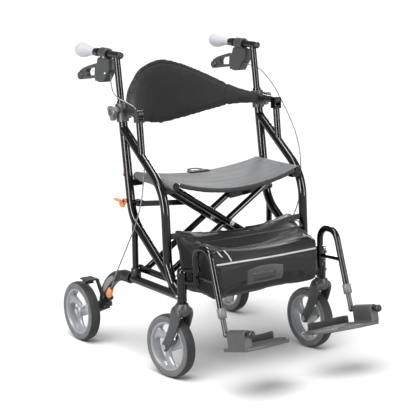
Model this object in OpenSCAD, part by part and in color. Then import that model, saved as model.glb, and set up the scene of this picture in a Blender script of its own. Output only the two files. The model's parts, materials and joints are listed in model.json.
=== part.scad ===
// Rollator transport chair: a folding four-wheeled walker with a sling seat, a flip-over padded
// backrest, raised push handles with loop brakes and swing-away footrests.
// Millimetres. Z is up, the floor is Z = 0 and the chair faces -Y.
// The right side is built at negative X and mirrored for the left side.

/* [Wheels] */

// Outside diameter of all four wheels
wheel_d = 200; // [194:1:203]
// Width of the tyres
wheel_w = 36; // [30:1:37]
// Turn of the right caster about its stem, in degrees
caster_turn_right = 8; // [-15:1:15]
// Turn of the left caster about its stem, in degrees
caster_turn_left = 3; // [-15:1:15]

/* [Frame] */

// Distance between the centre planes of the two side frames
frame_w = 530; // [516:2:550]
// Outside diameter of the main frame tubes
tube_d = 28; // [27:0.5:29]
// Outside diameter of the cross brace tubes
brace_d = 20; // [18:0.5:21]
// Depth of the sag at the front edge of the seat sling
seat_sag = 38; // [25:1:44]

/* [Handles] */

// Height of the handlebars above the wheel axles
handle_rise = 873; // [840:1:885]
// Length of the hand grips
grip_l = 103; // [92:1:108]
// Outside diameter of the brake cables
cable_d = 4; // [3.4:0.1:4.2]
// Size across the lobes of the clamp knobs
knob_d = 54; // [46:1:56]

/* [Backrest] */

// Height of the backrest pad at its middle
backrest_h = 228; // [190:2:240]
// Thickness of the backrest pad
backrest_t = 25; // [18:1:26]

/* [Bag] */

// Height of the storage bag
bag_h = 203; // [160:1:206]

/* [Footrests] */

// Length of each footplate across the chair
plate_l = 192; // [170:1:194]
// Toe-up tilt of the footplates, in degrees
plate_tilt = 14; // [11:1:16]
// Height of the heel straps
strap_h = 25; // [18:1:25]
// Diameter of the release balls on the footplate hinges
ball_d = 24; // [18:1:25]

/* [Hidden] */

$fn = 32;

// Gap between parts that only pass each other, and radial gap of running fits
gap = 0.3;
run = 0.05;

// Wheels
wheel_r = wheel_d / 2;
tyre_h = 23;
rim_r = wheel_r - tyre_h;
rear_axle_d = 10;
bearing_d = 26;

// Lengthwise places are written as distances ahead of the rear axle, and heights as they stand
// on 200 mm wheels; the chair is centred between its rear tyres and the footrest balls.
foot_reach = 131;
stem_a = 566;
hanger_a = stem_a + 31;
hanger_reach = 78;
hanger_bend_a = hanger_a + hanger_reach;
hanger_top_z = 424;
hanger_foot = [hanger_bend_a + 65, 233];
leg_slope = (hanger_top_z - hanger_foot.y) / (hanger_foot.x - hanger_bend_a);
leg_foot_a = hanger_foot.x + 16;
leg_foot_z = hanger_foot.y - 16 * leg_slope;
front_reach = leg_foot_a + foot_reach * cos(plate_tilt) + ball_d / 2;
rear_y = (front_reach - wheel_r) / 2;
lift = wheel_r - 100;

// Crosswise places, measured from the middle of the chair
frame_x = frame_w / 2;
rear_wheel_x = frame_x + 40;
stem_x = frame_x + 5;
brace_x = frame_x - 31;
foot_x = frame_x - 25;

// Main upright of each side frame
upright_top_a = 220;
upright_top_z = 830;
rake = 0.1565;
upright_bend = [278, 460.5];
upright_foot = [556, 260.5];
post_d = 22;
post_low_z = 690;
handle_z = handle_rise + 100;

// Front tube of each side frame
front_tube_pts = [[232, 745.4], [468, 573.6], [481, 345], [512, 291.6]];

// Lower rail, strut, caster stem
rail_z = 262;
rail_d = 26;
rail_rear_a = 246;
strut_a = 289;
strut_d = 20;
stem_d = 30;
stem_low_z = 248;
stem_top_z = 342;
caster_pin_d = 14;
caster_trail = 55;
fork_top_z = 246;

// Cross braces and seat rails
seat_rail_z = 591;
seat_rail_d = 22;
seat_rail_a0 = 268;
seat_rail_a1 = 490;
sleeve_d = seat_rail_d + 6;
pivot_z = 290;
pivot_a0 = 272.5;
pivot_a1 = 477.5;
pivot_d = 22;
pivot_pin_d = 12;
brace_1_a = [296, 413];
brace_2_a = [328, 437];
bolt_d = 8;
cross_z = (pivot_z + seat_rail_z) / 2;
link_a = (brace_1_a[0] + brace_2_a[0]) / 2;
link_pin_x = frame_x - 15;
link_pin_z = 512;
link_l = 160;
link_drop = 5.4;

// Backrest arms
arm_a = 328;
arm_z = 800;
arm_d = 22;
arm_pin_d = 8;
arm_end_a = 250;
ear_x = brace_x + sleeve_d / 2 + 0.5;
pad_a = arm_end_a + 14;
post_foot_a = arm_a + 13;

// Height clamps
clamp_z0 = 765;
clamp_z1 = 822;
knob_z = 797;
knob_x = frame_x + 26;

// Brakes
lever_a = 110;
lever_drop = 68;
lever_pin_d = 6;
shoe_a = 105;
shoe_z = 165;
shoe_pin_d = 8;
adjuster_low = [133, 175];
adjuster_top = [161, 215];
adjuster_out = 13;
adjuster_x = frame_x + adjuster_out;
adjuster_d = 14;

// Footrest hangers
hanger_d = 20;
hanger_low_z = 296;
hanger_brace_z = 336;
leg_d = 16;
hinge_pin_d = 12;
ball_pin_d = 8;
lug_z = [308, 346];
lug_h = 8;
plate_z = 39;
plate_t = 11;

// Storage bag, ahead of the cross brace
bag_a0 = 453;
bag_a1 = 650;
bag_top_z = 457;
bag_front_z = 400;
bag_r = 14;

// Brake cable routes: outboard of the side frame plane, ahead of the rear axle, height
route_right = [
    [0, 163, handle_z - 69], [11, 179, handle_z - 87], [18, 203, handle_z - 114],
    [16, 229, 842], [4, 252, 830], [-8, 272, 820], [-15, 286, 806], [-17, 300, 775],
    [-17, 318, 700], [-17, 327, 655], [-11, 333, 612], [-5, 337, 585], [2, 340, 540],
    [12, 335, 490], [19, 322, 445], [20, 290, 395], [21, 225, 300], [18, 186, 251],
    [adjuster_out, adjuster_top.x, adjuster_top.y]
];
route_left = [
    [0, 163, handle_z - 69], [10, 180, handle_z - 72], [18, 204, handle_z - 79], [20, 232, 881],
    [20, 297, 835], [20, 379, 744], [20, 420, 676], [20, 436, 612], [20, 436, 545],
    [20, 426, 477], [20, 385, 400], [22, 320, 325], [23, 240, 286], [18, 186, 251],
    [adjuster_out, adjuster_top.x, adjuster_top.y]
];

// Colours
black = [0.06, 0.06, 0.07];
dark = [0.18, 0.18, 0.19];
grey = [0.55, 0.56, 0.58];
pale = [0.86, 0.86, 0.88];
bright = [0.75, 0.76, 0.78];
orange = [0.95, 0.48, 0.1];
cloth = [0.33, 0.34, 0.35];

// Places
function ya(a) = rear_y - a;
function up(z) = z + lift;
function out(d) = -(frame_x + d);
function rake_a(z) = upright_top_a + (upright_top_z - z) * rake;
function unit(v) = v / norm(v);
function front_tube_z(a) =
    let (p = front_tube_pts[0], q = front_tube_pts[1]) p.y + (q.y - p.y) * (a - p.x) / (q.x - p.x);
function at(x, a, z) = [x, ya(a), up(z)];
function route_point(q) = at(out(q.x), q.y, q.z);

// Smooth curve through a list of points, n steps to each span
function spline(p, i, t) =
    let (b = p[i], c = p[i + 1], a = p[max(i - 1, 0)], d = p[min(i + 2, len(p) - 1)])
    (2 * b + (c - a) * t + (2 * a - 5 * b + 4 * c - d) * t * t
        + (3 * b - a - 3 * c + d) * t * t * t) / 2;
function curve(p, n) = concat(
    [for (i = [0 : len(p) - 2]) for (k = [0 : n - 1]) spline(p, i, k / n)],
    [p[len(p) - 1]]
);

// Round section rings along a path that runs roughly in the side plane or across it
function path_dir(p, i) = unit(p[min(i + 1, len(p) - 1)] - p[max(i - 1, 0)]);
function tube_ring(c, t, r, sides, aside) =
    let (u = unit(cross(t, aside)), v = cross(t, u))
    [for (k = [0 : sides - 1]) c + r * (cos(360 * k / sides) * u + sin(360 * k / sides) * v)];
function tube_rings(p, r, sides, aside) =
    [for (i = [0 : len(p) - 1]) tube_ring(p[i], path_dir(p, i), r, sides, aside)];

// Closed skin over a list of rings
module skin(rings) {
    n = len(rings[0]);
    m = len(rings);
    pts = [for (r = rings) for (q = r) q];
    sides = [
        for (i = [0 : m - 2]) for (k = [0 : n - 1])
            [i * n + k, (i + 1) * n + k, (i + 1) * n + (k + 1) % n, i * n + (k + 1) % n]
    ];
    first = [for (k = [0 : n - 1]) k];
    last = [for (k = [0 : n - 1]) (m - 1) * n + n - 1 - k];
    polyhedron(pts, concat(sides, [first, last]));
}

// Round bar between two points
module rod(p, q, d) {
    v = q - p;
    h = norm(v);
    translate(p) rotate([0, acos(v.z / h), atan2(v.y, v.x)]) cylinder(d = d, h = h);
}

// Bent tube in the XY plane, through points and with a bend radius at each inner point;
// each bend laps a little over the straight runs beside it
module flat_tube(pts, bends, d) {
    n = len(pts);
    dirs = [for (i = [0 : n - 2]) unit(pts[i + 1] - pts[i])];
    ends = [for (i = [0 : n - 1]) i == 0 || i == n - 1];
    turn = [for (i = [0 : n - 1]) ends[i] ? 0 : acos(dirs[i - 1] * dirs[i])];
    cut = [for (i = [0 : n - 1]) ends[i] ? 0 : bends[i - 1] * tan(turn[i] / 2)];
    for (i = [0 : n - 2]) {
        s = pts[i] + dirs[i] * cut[i];
        e = pts[i + 1] - dirs[i] * cut[i + 1];
        rod([s.x, s.y, 0], [e.x, e.y, 0], d);
    }
    for (i = [1 : n - 2]) {
        before = dirs[i - 1];
        after = dirs[i];
        left = before.x * after.y - before.y * after.x > 0 ? 1 : -1;
        s = pts[i] - before * cut[i];
        e = pts[i] + after * cut[i];
        c = s + left * bends[i - 1] * [-before.y, before.x];
        start = left > 0 ? s - c : e - c;
        lap = 60 / bends[i - 1];
        translate([c.x, c.y, 0]) rotate([0, 0, atan2(start.y, start.x) - lap])
            rotate_extrude(angle = turn[i] + 2 * lap) translate([bends[i - 1], 0]) circle(d = d + 0.4);
    }
}

// Bent tube in one side plane, through points given as ahead distance and height
module side_tube(x, places, bends, d)
    translate([x, 0, 0]) rotate([90, 0, 90])
        flat_tube([for (q = places) [ya(q.x), up(q.y)]], bends, d);

// Flat plate in the side plane, from x0 inboard by t
module side_plate(x0, t, places)
    translate([x0, 0, 0]) rotate([90, 0, 90]) linear_extrude(t)
        polygon([for (q = places) [ya(q.x), up(q.y)]]);

// Round bars along the X and Y axes, and a plain block
module bar_x(x0, h, a, z, d) translate(at(x0, a, z)) rotate([0, 90, 0]) cylinder(d = d, h = h);
module bar_y(x, a0, a1, z, d) translate(at(x, a1, z)) rotate([-90, 0, 0]) cylinder(d = d, h = a1 - a0);
module block(x0, x1, a0, a1, z0, z1) translate(at(x0, a1, z0)) cube([x1 - x0, a1 - a0, z1 - z0]);

// Lug plate between the caster stem and the hanger pivot
module hanger_lug(z) {
    dx = stem_x - foot_x;
    da = hanger_a - stem_a;
    translate(at(-foot_x, hanger_a, z)) cylinder(d = hanger_d + 10, h = lug_h);
    translate(at(-stem_x, stem_a, z)) rotate([0, 0, atan2(-da, dx)])
        translate([0, -10, 0]) cube([norm([dx, da]), 20, lug_h]);
}

// Bracket on the lower rail with a stub pin for the brace pivot tube, pin side +1 ahead, -1 behind
module pivot_bracket(a0, a1, pin_side) {
    block(out(-2), -brace_x, a0, a1, rail_z - 9, pivot_z + 12);
    bar_y(-brace_x, a0, a1, pivot_z, pivot_d + 4);
    pin_a = pin_side > 0 ? [a0, a1 + 20] : [a0 - 20, a1];
    bar_y(-brace_x, pin_a[0], pin_a[1], pivot_z, pivot_pin_d);
}

// Welded side frame with its stem tube, saddles, brackets, clevis and fixed pins
module side_frame(with_hook) {
    difference() {
        union() {
            side_tube(out(0), [[upright_top_a, upright_top_z], upright_bend, upright_foot], [120], tube_d);
            side_tube(out(0), front_tube_pts, [150, 60], tube_d);
            bar_y(out(0), rail_rear_a, stem_a - 8, rail_z, rail_d);
            rod(at(out(0), strut_a, rail_z), at(out(0), strut_a, 455), strut_d);
            rod(at(out(0), strut_a, rail_z + 12), at(out(0), strut_a, rail_z + 36), strut_d + 7);
            translate(at(-stem_x, stem_a, stem_low_z)) cylinder(d = stem_d, h = stem_top_z - stem_low_z);
            translate(at(-stem_x, stem_a, stem_top_z)) sphere(d = stem_d);
            for (z = lug_z) hanger_lug(z);
            rod(at(out(0), post_foot_a, front_tube_z(post_foot_a) + 2),
                at(out(0), arm_a + 0.6, arm_z - 20), 22);
            block(out(13), out(-13), arm_a - 12, arm_a + 12, arm_z - 27, arm_z - 17);
            for (x = [out(13), out(-9)]) {
                block(x, x + 4, arm_a - 12, arm_a + 12, arm_z - 25, arm_z);
                bar_x(x, 4, arm_a, arm_z, 24);
            }
            bar_x(out(13), 26, arm_a, arm_z, arm_pin_d);
            pivot_bracket(pivot_a0 - 7, pivot_a0 - 0.5, 1);
            pivot_bracket(pivot_a1 + 0.5, pivot_a1 + 7, -1);
            for (a = [262, 449.5]) block(out(-6), -brace_x + 10, a, a + 21.5, 566, 584);
            block(-link_pin_x - 12, -link_pin_x + 8, 276, link_a - 3.5, link_pin_z - 9, link_pin_z + 9);
            bar_y(-link_pin_x, link_a - 8, link_a + 7, link_pin_z, bolt_d);
            bar_y(-link_pin_x, link_a + 3.4, link_a + 8, link_pin_z, 14);
            for (z = [270, 328]) bar_x(-stem_x - stem_d / 2 - 3, 10, stem_a, z, 11);
            if (with_hook) {
                bar_x(out(26), 20, 262, 517, 6);
                bar_x(out(26), 2, 262, 517, 11);
                bar_x(out(15), 10, 264, 517, 13);
            }
        }
        rod(at(out(0), rake_a(845), 845), at(out(0), rake_a(572), 572), post_d + 2 * run);
        translate(at(-stem_x, stem_a, stem_low_z - 10)) cylinder(d = caster_pin_d + 2 * run, h = 82);
        for (z = lug_z) translate(at(-foot_x, hanger_a, z - 1))
            cylinder(d = hanger_d + 2 * run, h = lug_h + 2);
        bar_y(-brace_x, 240, 500, seat_rail_z, sleeve_d + 2 * gap);
    }
}

// Curved arm from the lower rail down to the rear axle
module rear_arm() {
    arc = [235, 107];
    dir = unit(adjuster_top - adjuster_low);
    difference() {
        union() {
            bar_y(out(0), 222, pivot_a0 - 7.5, rail_z, rail_d + 12);
            translate(at(out(11.4), arc.x, arc.y)) rotate([90, 0, 90]) rotate([0, 0, 12])
                rotate_extrude(angle = 79) translate([138, 0]) square([34, 22.8]);
            side_plate(out(12), 24, [[103, 124], [101, 140], [66, 144], [-3, 117], [-3, 83], [20, 88]]);
            bar_x(out(20.5), 35.5, 0, 100, 36);
            bar_x(out(20.6), 12, shoe_a, shoe_z, shoe_pin_d);
            bar_x(out(20.6), 1.2, shoe_a, shoe_z, 13);
            block(out(13), out(-6), 78, 128, 138, 154);
            translate(at(-adjuster_x, adjuster_low.x, adjuster_low.y))
                rotate([atan2(dir.x, dir.y), 0, 0]) translate([0, -9, -16]) cube([18, 35, 16]);
        }
        bar_y(out(0), rail_rear_a - 2, 290, rail_z, rail_d + 2 * run);
        bar_x(out(30), 60, 0, 100, rear_axle_d + 2 * run);
    }
}

// Axle bolt with a domed head outside and a nut inside
module rear_axle() {
    head = frame_x + 40 + wheel_w / 2 + 0.4;
    translate(at(-head, 0, 100)) rotate([0, 90, 0]) cylinder(d = rear_axle_d, h = head - frame_x + 22);
    translate(at(-head - 2, 0, 100)) rotate([0, 90, 0]) cylinder(d = 24, h = 2);
    translate(at(-head - 4, 0, 100)) rotate([0, 90, 0]) cylinder(d1 = 18, d2 = 24, h = 2);
    bar_x(out(-15.4), 6, 0, 100, 19);
}

module rear_bearings()
    for (x = [-rear_wheel_x - wheel_w / 2, -rear_wheel_x + wheel_w / 2 - 8])
        difference() {
            bar_x(x, 8, 0, 100, bearing_d);
            bar_x(x - 1, 10, 0, 100, rear_axle_d + 2 * run);
        }

// Tyre and rim about the Z axis, centred on the origin
module tyre() rotate_extrude($fn = 64) intersection() {
    translate([wheel_r - 40, 0]) circle(r = 40, $fn = 64);
    translate([rim_r, -wheel_w / 2]) square([tyre_h + 5, wheel_w]);
}

module rim(hub_w, bore_d) difference() {
    union() {
        rotate_extrude($fn = 64) translate([rim_r - 8, -wheel_w / 2 + 3]) square([8, wheel_w - 6]);
        cylinder(d = bearing_d + 10, h = hub_w, center = true);
        translate([0, 0, -6]) linear_extrude(12) for (k = [0 : 2]) rotate(120 * k) intersection() {
            circle(r = rim_r - 4, $fn = 64);
            difference() {
                translate([34, -44]) circle(r = 66, $fn = 64);
                translate([12, -58]) circle(r = 60, $fn = 64);
                translate([-100, -60]) square([100, 130]);
            }
        }
    }
    cylinder(d = bore_d, h = hub_w + 2, center = true);
}

module on_rear_axle() translate(at(-rear_wheel_x, 0, 100)) rotate([0, 90, 0]) children();

// Caster parts share the turn about the stem
module on_caster(turn) translate([-stem_x, ya(stem_a), 0]) rotate([0, 0, turn]) children();
module on_front_axle(turn)
    on_caster(turn) translate([0, caster_trail, wheel_r]) rotate([0, 90, 0]) children();

module caster_fork(turn) on_caster(turn) difference() {
    union() {
        translate([0, 0, up(fork_top_z) - 5]) cylinder(d = caster_pin_d, h = 77);
        translate([0, 0, up(fork_top_z) - 26]) cylinder(d = 46, h = 26);
        translate([-27, 0, up(fork_top_z) - 26]) cube([54, 30, 22]);
        for (x = [-27, 21]) {
            translate([x, caster_trail, wheel_r]) rotate([0, 90, 0]) cylinder(d = 30, h = 6);
            translate([x, 0, 0]) rotate([90, 0, 90]) linear_extrude(6) polygon([
                [-14, up(fork_top_z) - 8], [-14, up(fork_top_z) - 44], [8, wheel_r + 62],
                [caster_trail - 14, wheel_r + 4], [caster_trail + 14, wheel_r + 7],
                [34, up(fork_top_z) - 46], [30, up(fork_top_z) - 4]
            ]);
        }
    }
    translate([-40, caster_trail, wheel_r]) rotate([0, 90, 0]) cylinder(d = 10 + 2 * run, h = 80);
}

module front_axle(turn) on_front_axle(turn) {
    cylinder(d = 10, h = 62, center = true);
    for (side = [-1, 1]) translate([0, 0, side * 29.5]) cylinder(d = 18, h = 4, center = true);
}

// Telescoping handle post with the handlebar welded on top
module handle_post() {
    rod(at(out(0), rake_a(post_low_z), post_low_z), at(out(0), rake_a(handle_z), handle_z), post_d);
    bar_y(out(0), -30, 216, handle_z, post_d);
    translate(at(out(0), 216, handle_z)) sphere(d = post_d);
    bar_y(out(0), 80, 94, handle_z, post_d + 6);
}

// Flared grip over the rear of the handlebar
function grip_end(t) = sqrt(max(1 - pow(max(t - 0.72, 0) / 0.32, 2), 0.02));
module grip() difference() {
    translate(at(out(0), 66, handle_z)) rotate([-90, 0, 0]) rotate_extrude() polygon(concat(
        [[0, 0]],
        [for (k = [0 : 16]) let (t = k / 16)
            [13 + 12 * pow(sin(min(t * 1.25, 1) * 90), 3) * grip_end(t), t * grip_l]],
        [[0, grip_l]]
    ));
    bar_y(out(0), -30, 70, handle_z, post_d);
}

// Brake housing clamped round the handlebar, slotted for the lever
module brake_housing(route) {
    start = route_point(route[0]);
    ahead = unit(route_point(curve(route, 4)[1]) - start);
    h = handle_z - 973;
    difference() {
        union() {
            bar_y(out(0), 108, 150, handle_z, post_d + 14);
            side_plate(out(15), 30, [for (q = [
                [103, 957], [172, 958], [171, 923], [146, 893], [137, 882], [112, 879], [82, 883], [95, 933]
            ]) [q.x, q.y + h]]);
        }
        bar_y(out(0), 60, 220, handle_z, post_d);
        side_plate(out(10), 20, [for (q = [
            [70, 944], [98, 944], [126, 938], [130, 905], [122, 860], [60, 860]
        ]) [q.x, q.y + h]]);
    }
    bar_x(out(15), 30, lever_a, handle_z - lever_drop, lever_pin_d);
    rod(start - 16 * ahead, start - 0.2 * ahead, cable_d + 5);
}

// Loop-handled brake lever
module brake_lever() {
    h = handle_z - 973;
    difference() {
        union() {
            side_plate(out(9.5), 19, [for (q = [
                [110, 917], [98, 926], [77, 937], [36, 927], [-3, 916], [-24, 906], [-35, 894], [-36, 883],
                [-28, 877], [-18, 876], [30, 883], [74, 889], [98, 893], [110, 893]
            ]) [q.x, q.y + h]]);
            bar_x(out(9.5), 19, lever_a, handle_z - lever_drop, 24);
            bar_x(out(15), 30, -19, handle_z - 84, 25);
        }
        side_plate(out(20), 40, [for (q = [
            [24, 915], [74, 925], [71, 897], [19, 892], [14, 903]
        ]) [q.x, q.y + h]]);
        bar_x(out(20), 40, lever_a, handle_z - lever_drop, lever_pin_d + 2 * run);
    }
}

// Collar round the top of the upright with a knob boss and a rest for the backrest arm
module height_clamp() difference() {
    union() {
        rod(at(out(0), rake_a(clamp_z0), clamp_z0), at(out(0), rake_a(clamp_z1), clamp_z1), tube_d + 11);
        bar_x(-knob_x + gap, knob_x - frame_x - 8, rake_a(knob_z), knob_z, 26);
        block(out(1), -ear_x, 229, arm_end_a + 6, 778, arm_z - arm_d / 2 - gap);
    }
    rod(at(out(0), rake_a(700), 700), at(out(0), rake_a(880), 880), tube_d + 2 * run);
    bar_x(-knob_x - 1, 30, rake_a(knob_z), knob_z, 8 + 2 * run);
}

// Three-lobed knob with its stud
module clamp_knob() translate(at(-knob_x, rake_a(knob_z), knob_z)) rotate([0, -90, 0]) {
    translate([0, 0, -8]) cylinder(d = 8, h = 10);
    cylinder(d = knob_d * 0.62, h = 17);
    for (k = [0 : 2]) rotate(120 * k + 60)
        translate([knob_d * 0.3, 0, 0]) cylinder(d = knob_d * 0.4, h = 14);
}

// Backrest arm: an eye in the clevis, a straight run and an inner ear that holds the pad
module backrest_arm() difference() {
    union() {
        bar_x(out(8.5), 17, arm_a, arm_z, 24);
        block(out(8.5), out(-8.5), arm_a - 18, arm_a, arm_z - 8, arm_z + 8);
        bar_y(out(0), arm_end_a, arm_a - 13, arm_z, arm_d);
        block(out(-6), -ear_x, arm_end_a + 2, pad_a + 2, arm_z - 8.5, arm_z + 8.5);
    }
    bar_x(out(20), 40, arm_a, arm_z, arm_pin_d + 2 * run);
}

// Brake arm hinged on the rear arm, reaching over the tyre
module brake_shoe_arm() {
    reach = rear_wheel_x + 16;
    difference() {
        union() {
            side_plate(out(19), 5, [[97.5, 161], [111, 171], [76, 221], [66, 223], [60, 217]]);
            bar_x(out(19), 5, shoe_a, shoe_z, 17);
            block(-reach, out(14), 22, 72, 217, 221);
            block(-reach, -rear_wheel_x + 16, 38, 58, 205, 218);
        }
        bar_x(out(25), 20, shoe_a, shoe_z, shoe_pin_d + 2 * run);
    }
}

module cable_adjuster() {
    p = at(-adjuster_x, adjuster_low.x, adjuster_low.y);
    q = at(-adjuster_x, adjuster_top.x, adjuster_top.y);
    v = unit(q - p);
    rod(p, p + 26 * v, adjuster_d);
    rod(p + 26 * v, p + 34 * v, adjuster_d - 4);
    rod(p + 34 * v, q - 0.2 * v, adjuster_d - 6);
}

module brake_cable(route) {
    path = curve([for (q = route) route_point(q)], 4);
    skin(tube_rings(path, cable_d / 2, 8, [1, 0, 0]));
}

// Swing-away hanger: a bent tube whose rear leg is the pivot
module footrest_hanger() {
    foot = at(-foot_x, hanger_foot.x, hanger_foot.y);
    bend = at(-foot_x, hanger_bend_a, hanger_top_z);
    v = unit(foot - bend);
    share = (hanger_top_z - hanger_brace_z) / (hanger_top_z - hanger_foot.y);
    brace_a = hanger_bend_a + (hanger_foot.x - hanger_bend_a) * share;
    difference() {
        union() {
            side_tube(-foot_x, [[hanger_a, hanger_low_z], [hanger_a, hanger_top_z],
                [hanger_bend_a, hanger_top_z], hanger_foot], [40, 40], hanger_d);
            translate(at(-foot_x, hanger_a, lug_z[1] + lug_h + gap)) cylinder(d = hanger_d + 7, h = 7);
            rod(at(-foot_x, hanger_a, hanger_brace_z - 5), at(-foot_x, brace_a, hanger_brace_z), 12);
            rod(foot - 30 * v, foot, hanger_d + 5);
        }
        rod(foot - 128 * v, foot + 5 * v, leg_d + 2 * run);
    }
}

// Places on the footplate hinge: across from the hinge, along it, and square to it
module on_hinge() translate(at(-foot_x, leg_foot_a, leg_foot_z)) rotate([-plate_tilt, 0, 0]) children();
module hinge_bar(s0, s1, d) translate([0, -s1, 0]) rotate([-90, 0, 0]) cylinder(d = d, h = s1 - s0);

// Sliding inner leg with the hinge pin of the footplate
module footrest_leg() {
    foot = at(-foot_x, hanger_foot.x, hanger_foot.y);
    bend = at(-foot_x, hanger_bend_a, hanger_top_z);
    joint = at(-foot_x, leg_foot_a, leg_foot_z);
    v = unit(foot - bend);
    rod(foot - 110 * v, joint, leg_d);
    translate(joint) sphere(d = leg_d + 2);
    on_hinge() difference() {
        hinge_bar(0, 110, hinge_pin_d);
        hinge_bar(88, 120, ball_pin_d + 2 * run);
    }
}

module footplate() on_hinge() difference() {
    union() {
        hinge_bar(22, 112, 28);
        translate([-14, -112, -plate_z]) cube([28, 90, plate_z]);
        translate([0, 0, -plate_z - plate_t]) linear_extrude(plate_t) polygon([
            [-14, 4], [plate_l - 6, 4], [plate_l, -2], [plate_l, -47], [plate_l - 34, -94],
            [60, -115], [-8, -115], [-14, -109]
        ]);
    }
    hinge_bar(10, 130, hinge_pin_d + 2 * run);
}

// Webbing strap fixed to the rear edge of the plate
module heel_strap() on_hinge() {
    translate([15, 4, -plate_z - 8]) cube([plate_l - 35, 3, strap_h + 8]);
    for (x = [15, plate_l - 30]) translate([x, 4, -plate_z - 10]) cube([10, 5, strap_h * 0.8 + 10]);
}

module ball_knob() on_hinge() {
    hinge_bar(92, foot_reach, ball_pin_d);
    translate([0, -foot_reach, 0]) sphere(d = ball_d);
}

// Flat link from the side frame towards the rear brace tubes
module stabilizer_link() {
    translate(at(-link_pin_x, link_a + 3, link_pin_z)) rotate([-90, 0, 0]) rotate([0, 0, link_drop])
        difference() {
            union() {
                translate([0, -8.5, 0]) cube([link_l, 17, 6]);
                cylinder(d = 19, h = 6);
                translate([link_l, 0, 0]) cylinder(d = 17, h = 6);
                translate([link_l, 0, -2.4]) cylinder(d = 12, h = 10.8);
            }
            translate([0, 0, -5]) cylinder(d = bolt_d + 2 * run, h = 20);
        }
}

// Half of the folding cross brace: lower pivot tube, two brace tubes and a seat rail
module brace(places) difference() {
    union() {
        bar_y(-brace_x, pivot_a0, pivot_a1, pivot_z, pivot_d);
        bar_y(brace_x, seat_rail_a0, seat_rail_a1, seat_rail_z, seat_rail_d);
        for (a = places) rod(at(-brace_x, a, pivot_z), at(brace_x, a, seat_rail_z), brace_d);
    }
    for (a = places) bar_y(0, a - 20, a + 20, cross_z, bolt_d + 2 * run);
    bar_y(-brace_x, pivot_a0 - 1, pivot_a0 + 21, pivot_z, pivot_pin_d + 2 * run);
    bar_y(-brace_x, pivot_a1 - 21, pivot_a1 + 1, pivot_z, pivot_pin_d + 2 * run);
}

module brace_bolts()
    for (k = [0, 1]) {
        a0 = brace_1_a[k] - brace_d / 2 - gap;
        a1 = brace_2_a[k] + brace_d / 2 + gap;
        bar_y(0, a0 - 2, a1 + 2, cross_z, bolt_d);
        bar_y(0, a0 - 5, a0, cross_z, 16);
        bar_y(0, a1, a1 + 5, cross_z, 16);
        bar_y(0, brace_1_a[k] + brace_d / 2 + gap, brace_2_a[k] - brace_d / 2 - gap, cross_z, 15);
    }

// Seat sling: a sleeve on each rail, a sagging sheet and a rolled front hem
seat_edge_x = brace_x - 8.9;
seat_edge_z = seat_rail_z + 8.9;
seat_a0 = 257;
seat_a1 = 488;
function sag(a) = seat_sag * (0.58 + 0.42 * (a - seat_a0) / (seat_a1 - seat_a0));
function seat_z(x, a) = seat_edge_z - sag(a) * (1 - pow(x / seat_edge_x, 2));
function seat_ring(a) = concat(
    [for (k = [-8 : 8]) let (x = seat_edge_x * k / 8) at(x, a, seat_z(x, a) + 1.5)],
    [for (k = [-8 : 8]) let (x = -seat_edge_x * k / 8) at(x, a, seat_z(x, a) - 1.5)]
);

module seat_sling() {
    for (side = [-1, 1]) difference() {
        bar_y(side * brace_x, seat_rail_a0 + 3, seat_rail_a1 - 4, seat_rail_z, sleeve_d);
        bar_y(side * brace_x, seat_rail_a0, seat_rail_a1, seat_rail_z, seat_rail_d + 2 * gap);
        for (a = side > 0 ? brace_1_a : brace_2_a)
            rod(at(-side * brace_x, a, pivot_z), at(side * brace_x, a, seat_rail_z), brace_d + 4 * gap);
    }
    skin([for (k = [0 : 7]) seat_ring(seat_a1 - (seat_a1 - seat_a0) * k / 7)]);
    hem = [for (k = [-10 : 10]) let (x = (seat_edge_x - 8) * k / 10)
        at(x, seat_a1 - 3, seat_z(x, seat_a1) - 5)];
    skin(tube_rings(hem, 6, 8, [0, 1, 0]));
}

// Pull strap lying on the rear edge of the seat
module pull_strap()
    translate(at(0, seat_a0 + 2, seat_z(0, seat_a0))) {
        translate([-38, -14, 1.8]) cube([76, 26, 3]);
        difference() {
            translate([-30, 6, 1.8]) cube([60, 40, 3]);
            translate([-18, 14, 0]) cube([36, 22, 8]);
        }
    }

// Backrest pad: a padded leaf curved round behind the sitter
function back_x(t) = let (c = cos(t)) (ear_x - 3.8) * sign(c) * pow(abs(c), 2 / 1.9);
function back_a(t) = arm_a - 295 * pow(abs(sin(t)), 2 / 1.9);
function back_half(t) = 19 + (backrest_h / 2 - 19) * pow(abs(sin(t)), 2.6);
function back_mid(t) = arm_z + 21 * pow(abs(sin(t)), 2);
function lobe(s, e) = sign(s) * pow(abs(s), e);
back_t0 = asin(pow((arm_a - pad_a) / 295, 1.9 / 2));
back_n = 30;
back_ts = [for (k = [0 : back_n]) 180 - back_t0 - (180 - 2 * back_t0) * k / back_n];
function back_ring(i) =
    let (t = back_ts[i], lo = back_ts[max(i - 1, 0)], hi = back_ts[min(i + 1, back_n)],
        run_dir = unit([back_x(hi) - back_x(lo), back_a(lo) - back_a(hi), 0]),
        ends = i == 0 ? [-1, 0, 0] : i == back_n ? [1, 0, 0] : [-run_dir.y, run_dir.x, 0],
        side = i == 0 ? [1, 0, 0] : i == back_n ? [-1, 0, 0] : ends,
        c = at(back_x(t), back_a(t), back_mid(t)),
        h = back_half(t), w = backrest_t / 2 * (0.8 + 0.2 * abs(sin(t))))
    [for (k = [0 : 13]) let (q = 360 * k / 14)
        c + w * lobe(cos(q), 0.7) * side + [0, 0, h * lobe(sin(q), 0.9)]];

module backrest_pad() skin([for (i = [0 : back_n]) back_ring(i)]);

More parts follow.
